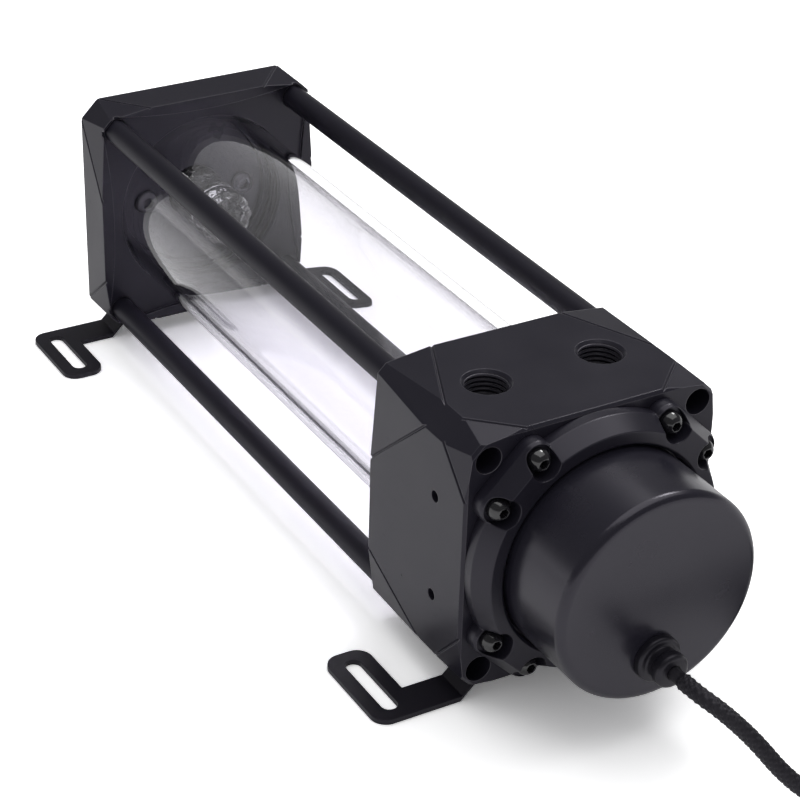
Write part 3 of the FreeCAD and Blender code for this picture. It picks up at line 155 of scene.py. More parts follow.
class Graph:
    """The nodes of one material or of the world, added through a single method."""

    def __init__(self, owner: bpy.types.Material | bpy.types.World) -> None:
        """Starts with no nodes.

        Args:
            owner: the material or world that the nodes belong to.
        """
        owner.use_nodes = True
        self.owner = owner
        self.tree = owner.node_tree
        self.tree.nodes.clear()

    def add(self, kind: str, settings: dict | None = None, inputs: dict | None = None,
            output: int | str = 0) -> Signal:
        """Adds a node.

        Args:
            kind: the node's type.
            settings: its own settings, which are set first.
            inputs: a value or a signal for each socket, by name or number.
            output: the output that is wanted.

        Returns:
            That output, with no socket where the node has none.
        """
        node = self.tree.nodes.new(kind)
        for name, value in (settings or {}).items():
            setattr(node, name, value)
        for place, value in (inputs or {}).items():
            if isinstance(value, Signal):
                self.tree.links.new(value.socket, node.inputs[place])
            else:
                node.inputs[place].default_value = value
        return Signal(self, node.outputs[output] if node.outputs else None)

    def place(self) -> Signal:
        """Object coordinates, in metres."""
        return self.add("ShaderNodeTexCoord", output="Object")

    def parts(self, vector: Signal) -> tuple[Signal, Signal, Signal]:
        """The three parts of a vector."""
        split = self.add("ShaderNodeSeparateXYZ", {}, {0: vector})
        return split, split.output("Y"), split.output("Z")

    def scaled(self, vector: Signal, scale: Point) -> Signal:
        """A vector with each part multiplied."""
        return self.add("ShaderNodeVectorMath", {"operation": "MULTIPLY"}, {0: vector, 1: scale})

    def noise(self, vector: Signal, scale: float, detail: float = 2.0) -> Signal:
        """Cloudy noise from 0 to 1."""
        inputs = {"Vector": vector, "Scale": scale, "Detail": detail}
        return self.add("ShaderNodeTexNoise", {}, inputs)

    def line_noise(self, value: Signal, scale: float) -> Signal:
        """Noise along one number."""
        inputs = {"W": value, "Scale": scale, "Detail": 2.0}
        return self.add("ShaderNodeTexNoise", {"noise_dimensions": "1D"}, inputs)

    def blend(self, share: Signal, low: Colour | Signal, high: Colour) -> Signal:
        """A colour between two, by a share."""
        start = low if isinstance(low, Signal) else (*low, 1.0)
        return self.add("ShaderNodeMix", {"data_type": "RGBA"}, {0: share, 6: start, 7: (*high, 1.0)}, output=2)

    def soft_normal(self, radius: float) -> Signal:
        """The surface's direction with sharp edges rounded to a radius."""
        return self.add("ShaderNodeBevel", {"samples": EDGE_SAMPLES}, {"Radius": radius})

    def edges(self, radius: float) -> Signal:
        """A mask of sharp edges, a smooth step of one minus the rounded direction . the real one.

        Args:
            radius: how far from an edge the mask reaches.

        Returns:
            The mask, from 0 on flat faces to 1 on edges.
        """
        real = self.add("ShaderNodeNewGeometry", output="Normal")
        inputs = {0: self.soft_normal(radius), 1: real}
        same = self.add("ShaderNodeVectorMath", {"operation": "DOT_PRODUCT"}, inputs, "Value")
        return (1.0 - same).rise(*EDGE_RANGE)

    def bump(self, height: Signal, depth: float, edge: float = 0.0) -> Signal:
        """A surface direction from relief and softened edges.

        Args:
            height: the relief, from 0 to 1.
            depth: how deep 1 is.
            edge: the radius to which sharp edges look rounded, 0 for none.

        Returns:
            The direction.
        """
        inputs = {"Height": height, "Distance": depth, "Strength": 1.0}
        if edge:
            inputs["Normal"] = self.soft_normal(edge)
        return self.add("ShaderNodeBump", {}, inputs)

    def shade(self, inputs: dict) -> bpy.types.Material:
        """Adds the shader and the material's output, and gives the material."""
        self.close(self.add("ShaderNodeBsdfPrincipled", {}, inputs))
        return self.owner

    def close(self, shader: Signal) -> None:
        """Ties a shader to the owner's output."""
        kind = "World" if isinstance(self.owner, bpy.types.World) else "Material"
        self.add(f"ShaderNodeOutput{kind}", {}, {0: shader})


class Grain(Enum):
    """The ways in which a surface is finely uneven."""

    MOULDED = "moulded"
    BLASTED = "blasted"
    TURNED = "turned"
    DRAWN = "drawn"
    WOVEN = "woven"
    WOUND = "wound"


@dataclass(frozen=True)
class Finish:
    """One finish: base colour, gloss and fine relief.

    grain_size is the width of the relief's marks and grain_depth their depth. mottle is the share
    by which the colour varies, wear the share of light scuffs, edge the radius to which sharp
    edges look rounded, and edge_highlight how far the colour goes to a pale grey there, a painted
    highlight that stands in for the lamps' glint on sharp edges.
    """

    name: str
    colour: Colour
    roughness: float
    metallic: float = 0.0
    specular: float = 0.5
    tint: Colour = (1.0, 1.0, 1.0)
    coat: float = 0.0
    grain: Grain = Grain.MOULDED
    grain_size: float = 0.5 * MM
    grain_depth: float = 0.01 * MM
    mottle: float = 0.12
    wear: float = 0.0
    edge: float = 0.0
    edge_highlight: float = 0.0

    def relief(self, graph: Graph, place: Signal) -> Signal:
        """The fine relief, by the kind of grain.

        Turned relief is noise along the distance from the long axis. Drawn relief is noise that is
        forty times longer along Y. Wound relief is the size of the sine of the sum of the places.
        Woven relief is the higher of two such sines that run either way round the lead.

        Args:
            graph: the material's nodes.
            place: the place on the object, in metres.

        Returns:
            The height, from 0 to 1.
        """
        scale = 1.0 / self.grain_size
        if self.grain is Grain.TURNED:
            across, _, rise = graph.parts(place)
            lift = rise - AXIS_Z
            radius = (across * across + lift * lift).root()
            return graph.line_noise(radius, scale)
        if self.grain is Grain.DRAWN:
            return graph.noise(graph.scaled(place, (scale, scale / 40, scale)), 1.0)
        if self.grain is Grain.WOUND:
            across, along, rise = graph.parts(place)
            return abs(((across + rise + along) * (math.pi * scale)).sine())
        if self.grain is Grain.WOVEN:
            uv = graph.add("ShaderNodeUVMap", {"uv_map": "lead"})
            around, along, _ = graph.parts(uv)
            one = ((around * BRAID_RIDGES + along * scale) * math.pi).sine()
            other = ((around * BRAID_RIDGES - along * scale) * math.pi).sine()
            return abs(one).most(abs(other))
        fine = graph.noise(place, scale, 3.0)
        if self.grain is Grain.BLASTED:
            coarse = graph.noise(place, scale / 5, 2.0)
            return fine * (1.0 - HEIGHT_SHARE) + coarse * HEIGHT_SHARE
        return fine

    @cache
    def material(self) -> bpy.types.Material:
        """Builds the finish once, and gives the same material after that.

        The colour goes from (1 - mottle) to (1 + mottle) times the base with slow noise and the
        relief, and along sharp edges it goes to a pale grey, a painted highlight. The roughness swings
        with the same noise and rises in scuffs.

        Returns:
            The material.
        """
        graph = Graph(bpy.data.materials.new(f"{self.name}_look"))
        place = graph.place()
        slow = graph.noise(place, PATCH_SCALE, 4.0)
        height = self.relief(graph, place)
        low = tuple(part * (1 - self.mottle) for part in self.colour)
        high = tuple(part * (1 + self.mottle) for part in self.colour)
        share = slow * (1.0 - HEIGHT_SHARE) + height * HEIGHT_SHARE
        rough = slow * ROUGHNESS_SWING + (self.roughness - ROUGHNESS_SWING / 2)
        if self.wear:
            scuffs = graph.noise(graph.scaled(place, SCUFF_SCALE), 1.0, 5.0).rise(*SCUFF_RANGE)
            rough = rough + scuffs * self.wear
            share = (share + scuffs * self.wear).least(1.0)
        colour = graph.blend(share, low, high)
        # Painted highlight: along sharp edges the colour goes to a pale grey, in place of the lamps' glint on
        # them.
        if self.edge_highlight:
            colour = graph.blend(graph.edges(self.edge) * self.edge_highlight, colour, EDGE_HIGHLIGHT_GREY)
        return graph.shade({
            "Base Color": colour, "Roughness": rough, "Metallic": self.metallic,
            "Specular IOR Level": self.specular, "Specular Tint": (*self.tint, 1.0),
            "Coat Weight": self.coat, "Coat Roughness": 0.2,
            "Normal": graph.bump(height, self.grain_depth, self.edge)})


@dataclass(frozen=True)
class ClearFinish:
    """A clear plastic: tint, index and a faint waviness of the surface. Lamps shine through it."""

    name: str
    tint: Colour
    wave: float = 0.0005 * MM
    wave_size: float = 12.0 * MM
    index: float = 1.49

    @cache
    def material(self) -> bpy.types.Material:
        """Builds the clear material once, and gives the same one after that.

        It is a smooth transmitting shader, and a see-through one of the same tint for shadow rays.

        Returns:
            The material.
        """
        graph = Graph(bpy.data.materials.new(f"{self.name}_look"))
        place = graph.place()
        height = graph.noise(place, 1.0 / self.wave_size, 1.0)
        paler = tuple(min(1.0, part * 1.02) for part in self.tint)
        solid = graph.add("ShaderNodeBsdfPrincipled", {}, {
            "Base Color": graph.blend(height, self.tint, paler), "Roughness": 0.0,
            "IOR": self.index, "Transmission Weight": 1.0, "Normal": graph.bump(height, self.wave)})
        shadow = graph.add("ShaderNodeLightPath", output="Is Shadow Ray")
        through = graph.add("ShaderNodeBsdfTransparent", {}, {"Color": (*self.tint, 1.0)})
        graph.close(graph.add("ShaderNodeMixShader", {}, {0: shadow, 1: solid, 2: through}))
        return graph.owner


VIOLET = (0.93, 0.89, 1.0)
# The pale grey of the painted highlight along sharp edges.
EDGE_HIGHLIGHT_GREY = (0.26, 0.25, 0.28)
# Some finishes below paint a pale highlight along their sharp edges.
BLOCK_BLACK = Finish("block_black", (0.0150, 0.0140, 0.0215), 0.31, specular=0.42, tint=VIOLET,
                     grain=Grain.BLASTED, grain_size=0.5 * MM, grain_depth=0.003 * MM, wear=0.06,
                     edge=0.35 * MM, edge_highlight=0.5)
RING_BLACK = Finish("ring_black", (0.0145, 0.0135, 0.0210), 0.33, tint=VIOLET, grain=Grain.BLASTED,
                    grain_size=0.7 * MM, grain_depth=0.008 * MM, wear=0.05, edge=0.25 * MM, edge_highlight=0.35)
HOUSING_BLACK = Finish("housing_black", (0.0150, 0.0140, 0.0215), 0.25, specular=0.65, tint=VIOLET,
                       grain=Grain.BLASTED, grain_size=0.6 * MM, grain_depth=0.001 * MM, mottle=0.05)
ROD_BLACK = Finish("rod_black", (0.0130, 0.0120, 0.0190), 0.45, specular=0.28, tint=VIOLET, grain=Grain.DRAWN,
                   grain_size=0.3 * MM, grain_depth=0.003 * MM)
SCREW_BLACK = Finish("screw_black", (0.012, 0.0115, 0.014), 0.15, specular=1.0, grain_size=0.4 * MM,
                     grain_depth=0.001 * MM, edge=0.2 * MM, edge_highlight=0.4)
INSERT_SCREW_BLACK = Finish("insert_screw_black", (0.070, 0.068, 0.078), 0.3, specular=0.8, tint=VIOLET,
                            grain_size=0.4 * MM, grain_depth=0.001 * MM)
FOOT_BLACK = Finish("foot_black", (0.0120, 0.0110, 0.0160), 0.38, specular=0.4, tint=VIOLET,
                    grain_size=0.6 * MM, grain_depth=0.01 * MM, edge=0.25 * MM)
GROMMET_RUBBER = Finish("grommet_rubber", (0.0095, 0.0090, 0.0130), 0.36, tint=VIOLET, grain_size=0.25 * MM,
                        grain_depth=0.006 * MM)
SEAL_RUBBER = Finish("seal_rubber", (0.010, 0.010, 0.011), 0.5, grain_size=0.3 * MM)
INSERT_BLACK = Finish("insert_black", (0.0180, 0.0170, 0.0240), 0.3, tint=VIOLET, grain=Grain.TURNED,
                      grain_size=0.5 * MM, grain_depth=0.03 * MM)
SLEEVE_BLACK = Finish("sleeve_black", (0.0110, 0.0105, 0.0140), 0.34, tint=VIOLET, grain=Grain.WOVEN,
                      grain_size=0.35 * MM, grain_depth=0.06 * MM)
CABLE_BLACK = Finish("cable_black", (0.012, 0.012, 0.013), 0.35, grain_size=0.3 * MM)
CONNECTOR_BLACK = Finish("connector_black", (0.018, 0.018, 0.020), 0.45, grain_size=0.4 * MM)
STEEL = Finish("steel", (0.55, 0.55, 0.56), 0.28, metallic=1.0, grain=Grain.DRAWN, grain_size=0.2 * MM)
STATOR_STEEL = Finish("stator_steel", (0.30, 0.31, 0.33), 0.45, metallic=1.0, grain=Grain.DRAWN,
                      grain_size=0.5 * MM, grain_depth=0.05 * MM)
COPPER = Finish("copper", (0.72, 0.32, 0.14), 0.3, metallic=1.0, grain=Grain.WOUND, grain_size=0.4 * MM,
                grain_depth=0.1 * MM)
MAGNET_GREY = Finish("magnet_grey", (0.09, 0.09, 0.10), 0.5, metallic=0.4, grain_size=0.3 * MM)
CERAMIC = Finish("ceramic", (0.82, 0.80, 0.76), 0.15, grain_size=0.3 * MM, grain_depth=0.002 * MM)
GRAPHITE = Finish("graphite", (0.05, 0.05, 0.055), 0.42, grain_size=0.2 * MM)
IMPELLER_PLASTIC = Finish("impeller_plastic", (0.03, 0.03, 0.032), 0.4, grain_size=0.4 * MM)
BOARD_GREEN = Finish("board_green", (0.02, 0.12, 0.05), 0.35, coat=0.4, grain_size=0.8 * MM,
                     grain_depth=0.01 * MM)
COMPONENT_BLACK = Finish("component_black", (0.025, 0.025, 0.027), 0.4, grain_size=0.3 * MM)
TUBE_CLEAR = ClearFinish("tube_clear", (0.87, 0.862, 0.893))
PLUG_CLEAR = ClearFinish("plug_clear", (0.985, 0.985, 0.99), wave=0.9 * MM, wave_size=2.0 * MM)


def link(name: str, data: bpy.types.ID) -> bpy.types.Object:
    """Puts a mesh, curve, camera or lamp into the scene.

    Args:
        name: the object's name.
        data: what it shows.

    Returns:
        The object, at the origin.
    """
    made = bpy.data.objects.new(name, data)
    bpy.context.scene.collection.objects.link(made)
    return made


def smooth(piece: bpy.types.Object, degrees: float) -> None:
    """Shades a piece smooth, apart from its sharp edges, with flat faces kept flat.

    Args:
        piece: the object.
        degrees: the angle above which an edge is sharp.
    """
    mesh = piece.data
    mesh.polygons.foreach_set("use_smooth", np.ones(len(mesh.polygons), bool))
    mesh.set_sharp_from_angle(angle=math.radians(degrees))
    mesh.update()
    weigh = piece.modifiers.new("flat_faces", "WEIGHTED_NORMAL")
    weigh.keep_sharp = True
    weigh.weight = 100


def settle(piece: bpy.types.Object, finish: Finish | ClearFinish, slot: str, *nodes: str) -> bpy.types.Object:
    """Gives a piece its finish and its body, and hides the solids that it stands for.

    Args:
        piece: the finished object.
        finish: its finish.
        slot: the record's material slot; not used.
        nodes: the solids that it replaces.

    Returns:
        The piece.
    """
    piece.data.materials.clear()
    piece.data.materials.append(finish.material())
    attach(piece, BODY)
    if nodes:
        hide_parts(*nodes)
    LOG.info("%s: %d faces", piece.name, len(piece.data.polygons))
    return piece


def grid_faces(rows: int, columns: int, wrap_rows: bool, wrap_columns: bool) -> np.ndarray:
    """Corner numbers of the quads of a grid.

    Args:
        rows: points down the grid.
        columns: points across it.
        wrap_rows: whether the last row joins the first.
        wrap_columns: whether the last column joins the first.

    Returns:
        One row of four numbers for each quad.
    """
    down = np.arange(rows if wrap_rows else rows - 1)[:, None]
    over = np.arange(columns if wrap_columns else columns - 1)[None, :]
    next_down = (down + 1) % rows
    next_over = (over + 1) % columns
    corners = [down * columns + over, down * columns + next_over,
               next_down * columns + next_over, next_down * columns + over]
    return np.stack(np.broadcast_arrays(*corners), -1).reshape(-1, 4)


def surface(name: str, sheets: list[np.ndarray], wrap_rows: bool = False, wrap_columns: bool = True,
            sharp: float = 40.0) -> bpy.types.Object:
    """Makes one object from grids of points.

    A closed grid whose faces point inwards, by the sign of the sum of corner . (next x after)
    over its triangles, is turned inside out. Points that meet at a pole are merged.

    Args:
        name: the object's name.
        sheets: grids of points, rows by columns by 3.
        wrap_rows: whether a grid's last row joins its first.
        wrap_columns: whether its last column joins its first.
        sharp: the angle in degrees above which an edge stays sharp.

    Returns:
        The object.
    """
    points = []
    faces = []
    start = 0
    for sheet in sheets:
        rows, columns = sheet.shape[:2]
        flat = sheet.reshape(-1, 3)
        quads = grid_faces(rows, columns, wrap_rows, wrap_columns)
        a, b, c, d = (flat[quads[:, i]] for i in range(4))
        volume = (np.einsum("ij,ij->i", a, np.cross(b, c)) + np.einsum("ij,ij->i", a, np.cross(c, d))).sum()
        if volume < 0:
            quads = quads[:, ::-1]
        points.append(flat)
        faces.append(quads + start)
        start += len(flat)
    mesh = bpy.data.meshes.new(name)
    mesh.from_pydata(np.concatenate(points), [], np.concatenate(faces))
    work = bmesh.new()
    work.from_mesh(mesh)
    bmesh.ops.remove_doubles(work, verts=work.verts, dist=MERGE_FINE)
    bmesh.ops.dissolve_degenerate(work, edges=work.edges, dist=MERGE_FINE / 10)
    work.to_mesh(mesh)
    work.free()
    piece = link(name, mesh)
    smooth(piece, sharp)
    return piece


def rounded(corners: Sequence[Point], steps: int = 5) -> np.ndarray:
    """Rounds the corners of an open profile.

    Each inner corner of radius r becomes an arc that starts r / tan(half the angle) before it.
    The arc's points are the turn between its two end radii about its centre.

    Args:
        corners: each a radius from the axis, a place along it and the corner's own radius.
        steps: points on each arc.

    Returns:
        The profile's points, two columns.
    """
    data = np.array(corners, float)
    points = data[:, :2]
    back = points[:-2] - points[1:-1]
    ahead = points[2:] - points[1:-1]
    back /= np.linalg.norm(back, axis=1, keepdims=True)
    ahead /= np.linalg.norm(ahead, axis=1, keepdims=True)
    size = data[1:-1, 2]
    half = np.arccos(np.clip((back * ahead).sum(1), -1, 1)) / 2
    middle = back + ahead
    middle /= np.maximum(np.linalg.norm(middle, axis=1, keepdims=True), TINY)
    centre = points[1:-1] + middle * (size / np.maximum(np.sin(half), LEAST_SINE))[:, None]
    run = (size / np.maximum(np.tan(half), LEAST_SINE))[:, None]
    first = points[1:-1] + back * run - centre
    last = points[1:-1] + ahead * run - centre
    turn = (math.pi - 2 * half)[:, None]
    share = np.linspace(0, 1, steps)[None, :]
    over = np.maximum(np.sin(turn), LEAST_SINE)
    arcs = (centre[:, None] + first[:, None] * (np.sin((1 - share) * turn) / over)[..., None]
            + last[:, None] * (np.sin(share * turn) / over)[..., None])
    sharp = size < TINY
    arcs[sharp] = points[1:-1][sharp][:, None]
    line = np.concatenate([points[:1], arcs.reshape(-1, 2), points[-1:]])
    keep = np.ones(len(line), bool)
    keep[1:] = np.linalg.norm(np.diff(line, axis=0), axis=1) > MERGE_FINE / 10
    return line[keep]


def turned(profile: np.ndarray, centre: tuple[float, float], segments: int = 96) -> np.ndarray:
    """Turns a profile about an axis along Y.

    A point at radius r and place y goes to (x + r cos t, y, z + r sin t) for t once round.

    Args:
        profile: radius and place along Y.
        centre: the axis, as x and z.
        segments: columns round the axis.

    Returns:
        A grid of points.
    """
    angle = np.linspace(0, 2 * math.pi, segments, endpoint=False)[None, :]
    radius = profile[:, :1]
    along = np.broadcast_to(profile[:, 1:], (len(profile), segments))
    return np.stack([centre[0] + radius * np.cos(angle), along, centre[1] + radius * np.sin(angle)], -1)


def dressed(node: str, finish: Finish, slot: str, edge: float = 0.0, sharp: float = 30.0) -> bpy.types.Object:
    """A copy of a solid's mesh with its loose triangles merged and its edges softened.

    Args:
        node: the solid.
        finish: the finish.
        slot: the record's material slot.
        edge: the width of edges that get a real bevel, 0 for none.
        sharp: the angle above which an edge is softened.

    Returns:
        The piece.
    """
    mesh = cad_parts[node].data.copy()
    if "custom_normal" in mesh.attributes:
        mesh.attributes.remove(mesh.attributes["custom_normal"])
    work = bmesh.new()
    work.from_mesh(mesh)
    bmesh.ops.remove_doubles(work, verts=work.verts, dist=MERGE_SOLID)
    bmesh.ops.dissolve_limit(work, angle_limit=math.radians(FLAT_DEGREES), verts=work.verts, edges=work.edges)
    work.to_mesh(mesh)
    work.free()
    piece = link(f"{node}_skin", mesh)
    smooth(piece, sharp)
    if edge:
        bevel = piece.modifiers.new("edge", "BEVEL")
        bevel.width = edge
        bevel.segments = 2
        bevel.limit_method = "ANGLE"
        bevel.angle_limit = math.radians(sharp)
        bevel.use_clamp_overlap = False
        bevel.harden_normals = True
        bevel.miter_outer = "MITER_ARC"
    return settle(piece, finish, slot, node)


@dataclass(frozen=True)
class ButtonScrew:
    """A socket screw with a domed or flat head, its shank along Y.

    head and height are the head's radius and height, socket the width across the flats of its
    hexagon, shank and length the radius and length below the head. As shares of the head's height,
    deep is how far the hexagon goes in and rise how far the dome stands up. As shares of its
    radius, lip is where the dome starts, from the hexagon's width, and edge the width of chamfers.
    """

    head: float
    height: float
    socket: float
    shank: float
    length: float
    dome: bool = True
    deep: float = 0.8
    rise: float = 0.8
    lip: float = 0.62
    edge: float = 0.06

    def sheet(self, x: float, y: float, z: float, facing: float, segments: int = 72) -> np.ndarray:
        """The screw's surface as one grid from the socket's floor to the shank's end.

        The socket's wall lies at (half the width) / cos(angle from the middle of a flat). The dome
        is part of an ellipse, at head x sin(sweep) from the axis.

        Args:
            x: the axis, across.
            y: the seat under the head.
            z: the axis, up.
            facing: -1 where the head faces the pump's end, 1 where it faces the cap.
            segments: columns round the axis, six times a whole number.

        Returns:
            A grid of points.
        """
        angle = np.linspace(0, 2 * math.pi, segments, endpoint=False)
        sector = math.pi / 3
        hexagon = self.socket / 2 / np.cos((angle % sector) - sector / 2)
        ones = np.ones(segments)
        depth = self.height * self.deep
        rise = self.height * (self.rise if self.dome else 0.0)
        lip = math.asin(self.socket * self.lip / self.head)
        sweep = np.linspace(lip, math.pi / 2, 12)[:, None]
        dome_r = self.head * np.sin(sweep) * ones
        dome_y = (self.height - rise * (1 - np.cos(sweep) / math.cos(lip))) * ones
        edge = self.edge * self.head
        floor = (self.height - depth) * ones
        rows_r = [0 * ones, hexagon * 0.98, hexagon, hexagon * 1.04 + 0.03 * MM]
        rows_y = [floor, floor, (self.height - 0.08 * MM) * ones, self.height * ones]
        rows_r += list(dome_r) + [self.head * ones, (self.head - edge) * ones, self.shank * ones,
                                  self.shank * ones, (self.shank - edge) * ones, 0 * ones]
        foot = [edge, 0.0, 0.0, edge - self.length, -self.length, -self.length]
        rows_y += list(dome_y) + [place * ones for place in foot]
        radius = np.array(rows_r)
        along = np.array(rows_y)
        return np.stack([x + radius * np.cos(angle), y + facing * along, z + radius * np.sin(angle)], -1)


def upended(sheet: np.ndarray, x: float, y: float, z: float) -> np.ndarray:
    """Stands a screw made along Y at the origin on its head at a place: (x, y, z) + (x, z, y) of each point."""
    return np.stack([x + sheet[..., 0], y + sheet[..., 2], z + sheet[..., 1]], -1)


@dataclass(frozen=True)
class Lamp:
    """A soft square lamp: its place, its side and the level at which it shows in a mirror."""

    name: str
    at: Point
    side: float
    level: float

    def build(self, aim: Point) -> None:
        """Makes the lamp. Its power is pi times its area times the level.

        Args:
            aim: the point that it faces.
        """
        data = bpy.data.lights.new(self.name, "AREA")
        data.shape = "RECTANGLE"
        data.size = data.size_y = self.side
        data.energy = math.pi * self.side * self.side * self.level
        away = Vector(self.at) - Vector(aim)
        made = link(self.name, data)
        made.matrix_world = Matrix.Translation(self.at) @ away.to_track_quat("Z", "Y").to_matrix().to_4x4()


@dataclass
class Studio:
    """The camera, the pale floor, the lamps and the world.

    The camera was fitted to the picture in units of half the block's width, from the middle of
    the block's front face: turn, lift and roll in degrees, then the face's place before it. The
    floor's colour times gain, plus glow, is what the camera sees of it, and mirror_glow is what
    gloss sees. The floor goes over to white at the distances of fade. For gloss the world is white
    at the horizon and falls to wall over the heights of horizon. ambient is its light on matt things.
    """

    turn: float = -30.61914
    lift: float = 29.99302
    roll: float = 1.6717955
    shift: Point = (1.2775522, 0.9236499, 16.1012204)
    lens: float = 106.348
    floor_size: float = 8.0
    floor_low: Colour = (0.80, 0.80, 0.805)
    floor_high: Colour = (0.82, 0.82, 0.825)
    gain: float = 2.1
    glow: float = 0.08
    mirror_glow: float = 0.08
    fade: Range = (0.6, 1.6)
    wall: float = 0.12
    horizon: Range = (0.02, 0.2)
    ambient: float = 0.5
    aim: Point = (0.0, -0.03, 0.04)
    lamps: tuple[Lamp, ...] = (Lamp("overhead", (0.2, 0.05, 1.25), 1.5, 1.1),
                               Lamp("glint", (0.66, 0.30, 1.00), 0.3, 9.0))

    def camera(self) -> None:
        """Places the camera: its rows are right, down and forward, and it stands at minus their sums."""
        a, e, t = (math.radians(angle) for angle in (self.turn, self.lift, self.roll))
        forward = -np.array([math.sin(a) * math.cos(e), -math.cos(a) * math.cos(e), math.sin(e)])
        right = np.cross(forward, (0, 0, 1))
        right /= np.linalg.norm(right)
        down = np.cross(forward, right)
        tilt = np.array([[math.cos(t), -math.sin(t), 0], [math.sin(t), math.cos(t), 0], [0, 0, 1]])
        rows = tilt @ np.array([right, down, forward])
        stand = -rows.T @ np.array(self.shift) * HALF_WIDTH + (0, FRONT_Y, AXIS_Z)
        data = bpy.data.cameras.new("camera")
        data.lens = self.lens
        data.sensor_width = 36.0
        data.clip_start = 0.01
        data.clip_end = 50.0
        made = link("camera", data)
        axes = np.array([rows[0], -rows[1], -rows[2]]).T
        made.matrix_world = Matrix.Translation(stand) @ Matrix(axes.tolist()).to_4x4()
        bpy.context.scene.camera = made

    def floor(self) -> None:
        """A pale floor that shows as white, keeps the soft shadow and is lost in the white far off."""
        half = self.floor_size / 2
        side = np.linspace(-half, half, 3)
        across, along = np.meshgrid(side, side)
        sheet = np.stack([across, along, np.full_like(across, -0.02 * MM)], -1)
        mesh = bpy.data.meshes.new("floor")
        mesh.from_pydata(sheet.reshape(-1, 3), [], grid_faces(3, 3, False, False))
        piece = link("floor", mesh)
        graph = Graph(bpy.data.materials.new("floor_pale"))
        place = graph.place()
        tone = graph.blend(graph.noise(place, 3.0), self.floor_low, self.floor_high)
        rays = graph.add("ShaderNodeLightPath")
        seen = rays.most(rays.output("Is Transmission Ray"))
        mirrored = rays.output("Is Glossy Ray") * self.mirror_glow
        gain = seen * (self.gain - 1) + 1.0
        colour = graph.add("ShaderNodeVectorMath", {"operation": "SCALE"}, {0: tone, 3: gain})
        matt = graph.add("ShaderNodeBsdfDiffuse", {}, {"Color": colour})
        away = graph.add("ShaderNodeVectorMath", {"operation": "LENGTH"}, {0: place}, "Value")
        strength = (seen * away.rise(*self.fade).most(self.glow)).most(mirrored)
        glow = graph.add("ShaderNodeEmission", {}, {"Color": (1, 1, 1, 1), "Strength": strength})
        graph.close(graph.add("ShaderNodeAddShader", {}, {0: matt, 1: glow}))
        mesh.materials.append(graph.owner)

    def world(self) -> None:
        """A plain world: white where the camera or glass looks, a dark wall over the horizon for gloss."""
        scene = bpy.context.scene
        scene.view_settings.view_transform = "Standard"
        scene.world = bpy.data.worlds.new("studio")
        graph = Graph(scene.world)
        rays = graph.add("ShaderNodeLightPath")
        place = graph.add("ShaderNodeTexCoord", output="Generated")
        _, _, rise = graph.parts(place)
        gloss = 1.0 - rise.rise(*self.horizon) * (1.0 - self.wall)
        seen = rays.most(rays.output("Is Transmission Ray"))
        glossy = rays.output("Is Glossy Ray")
        light = (1.0 - seen.most(glossy)) * self.ambient
        strength = seen + glossy * gloss + light
        graph.close(graph.add("ShaderNodeBackground", {}, {"Color": (1, 1, 1, 1), "Strength": strength}))

    def build(self) -> None:
        """Sets up everything round the object."""
        self.camera()
        self.floor()
        for lamp in self.lamps:
            lamp.build(self.aim)
        self.world()


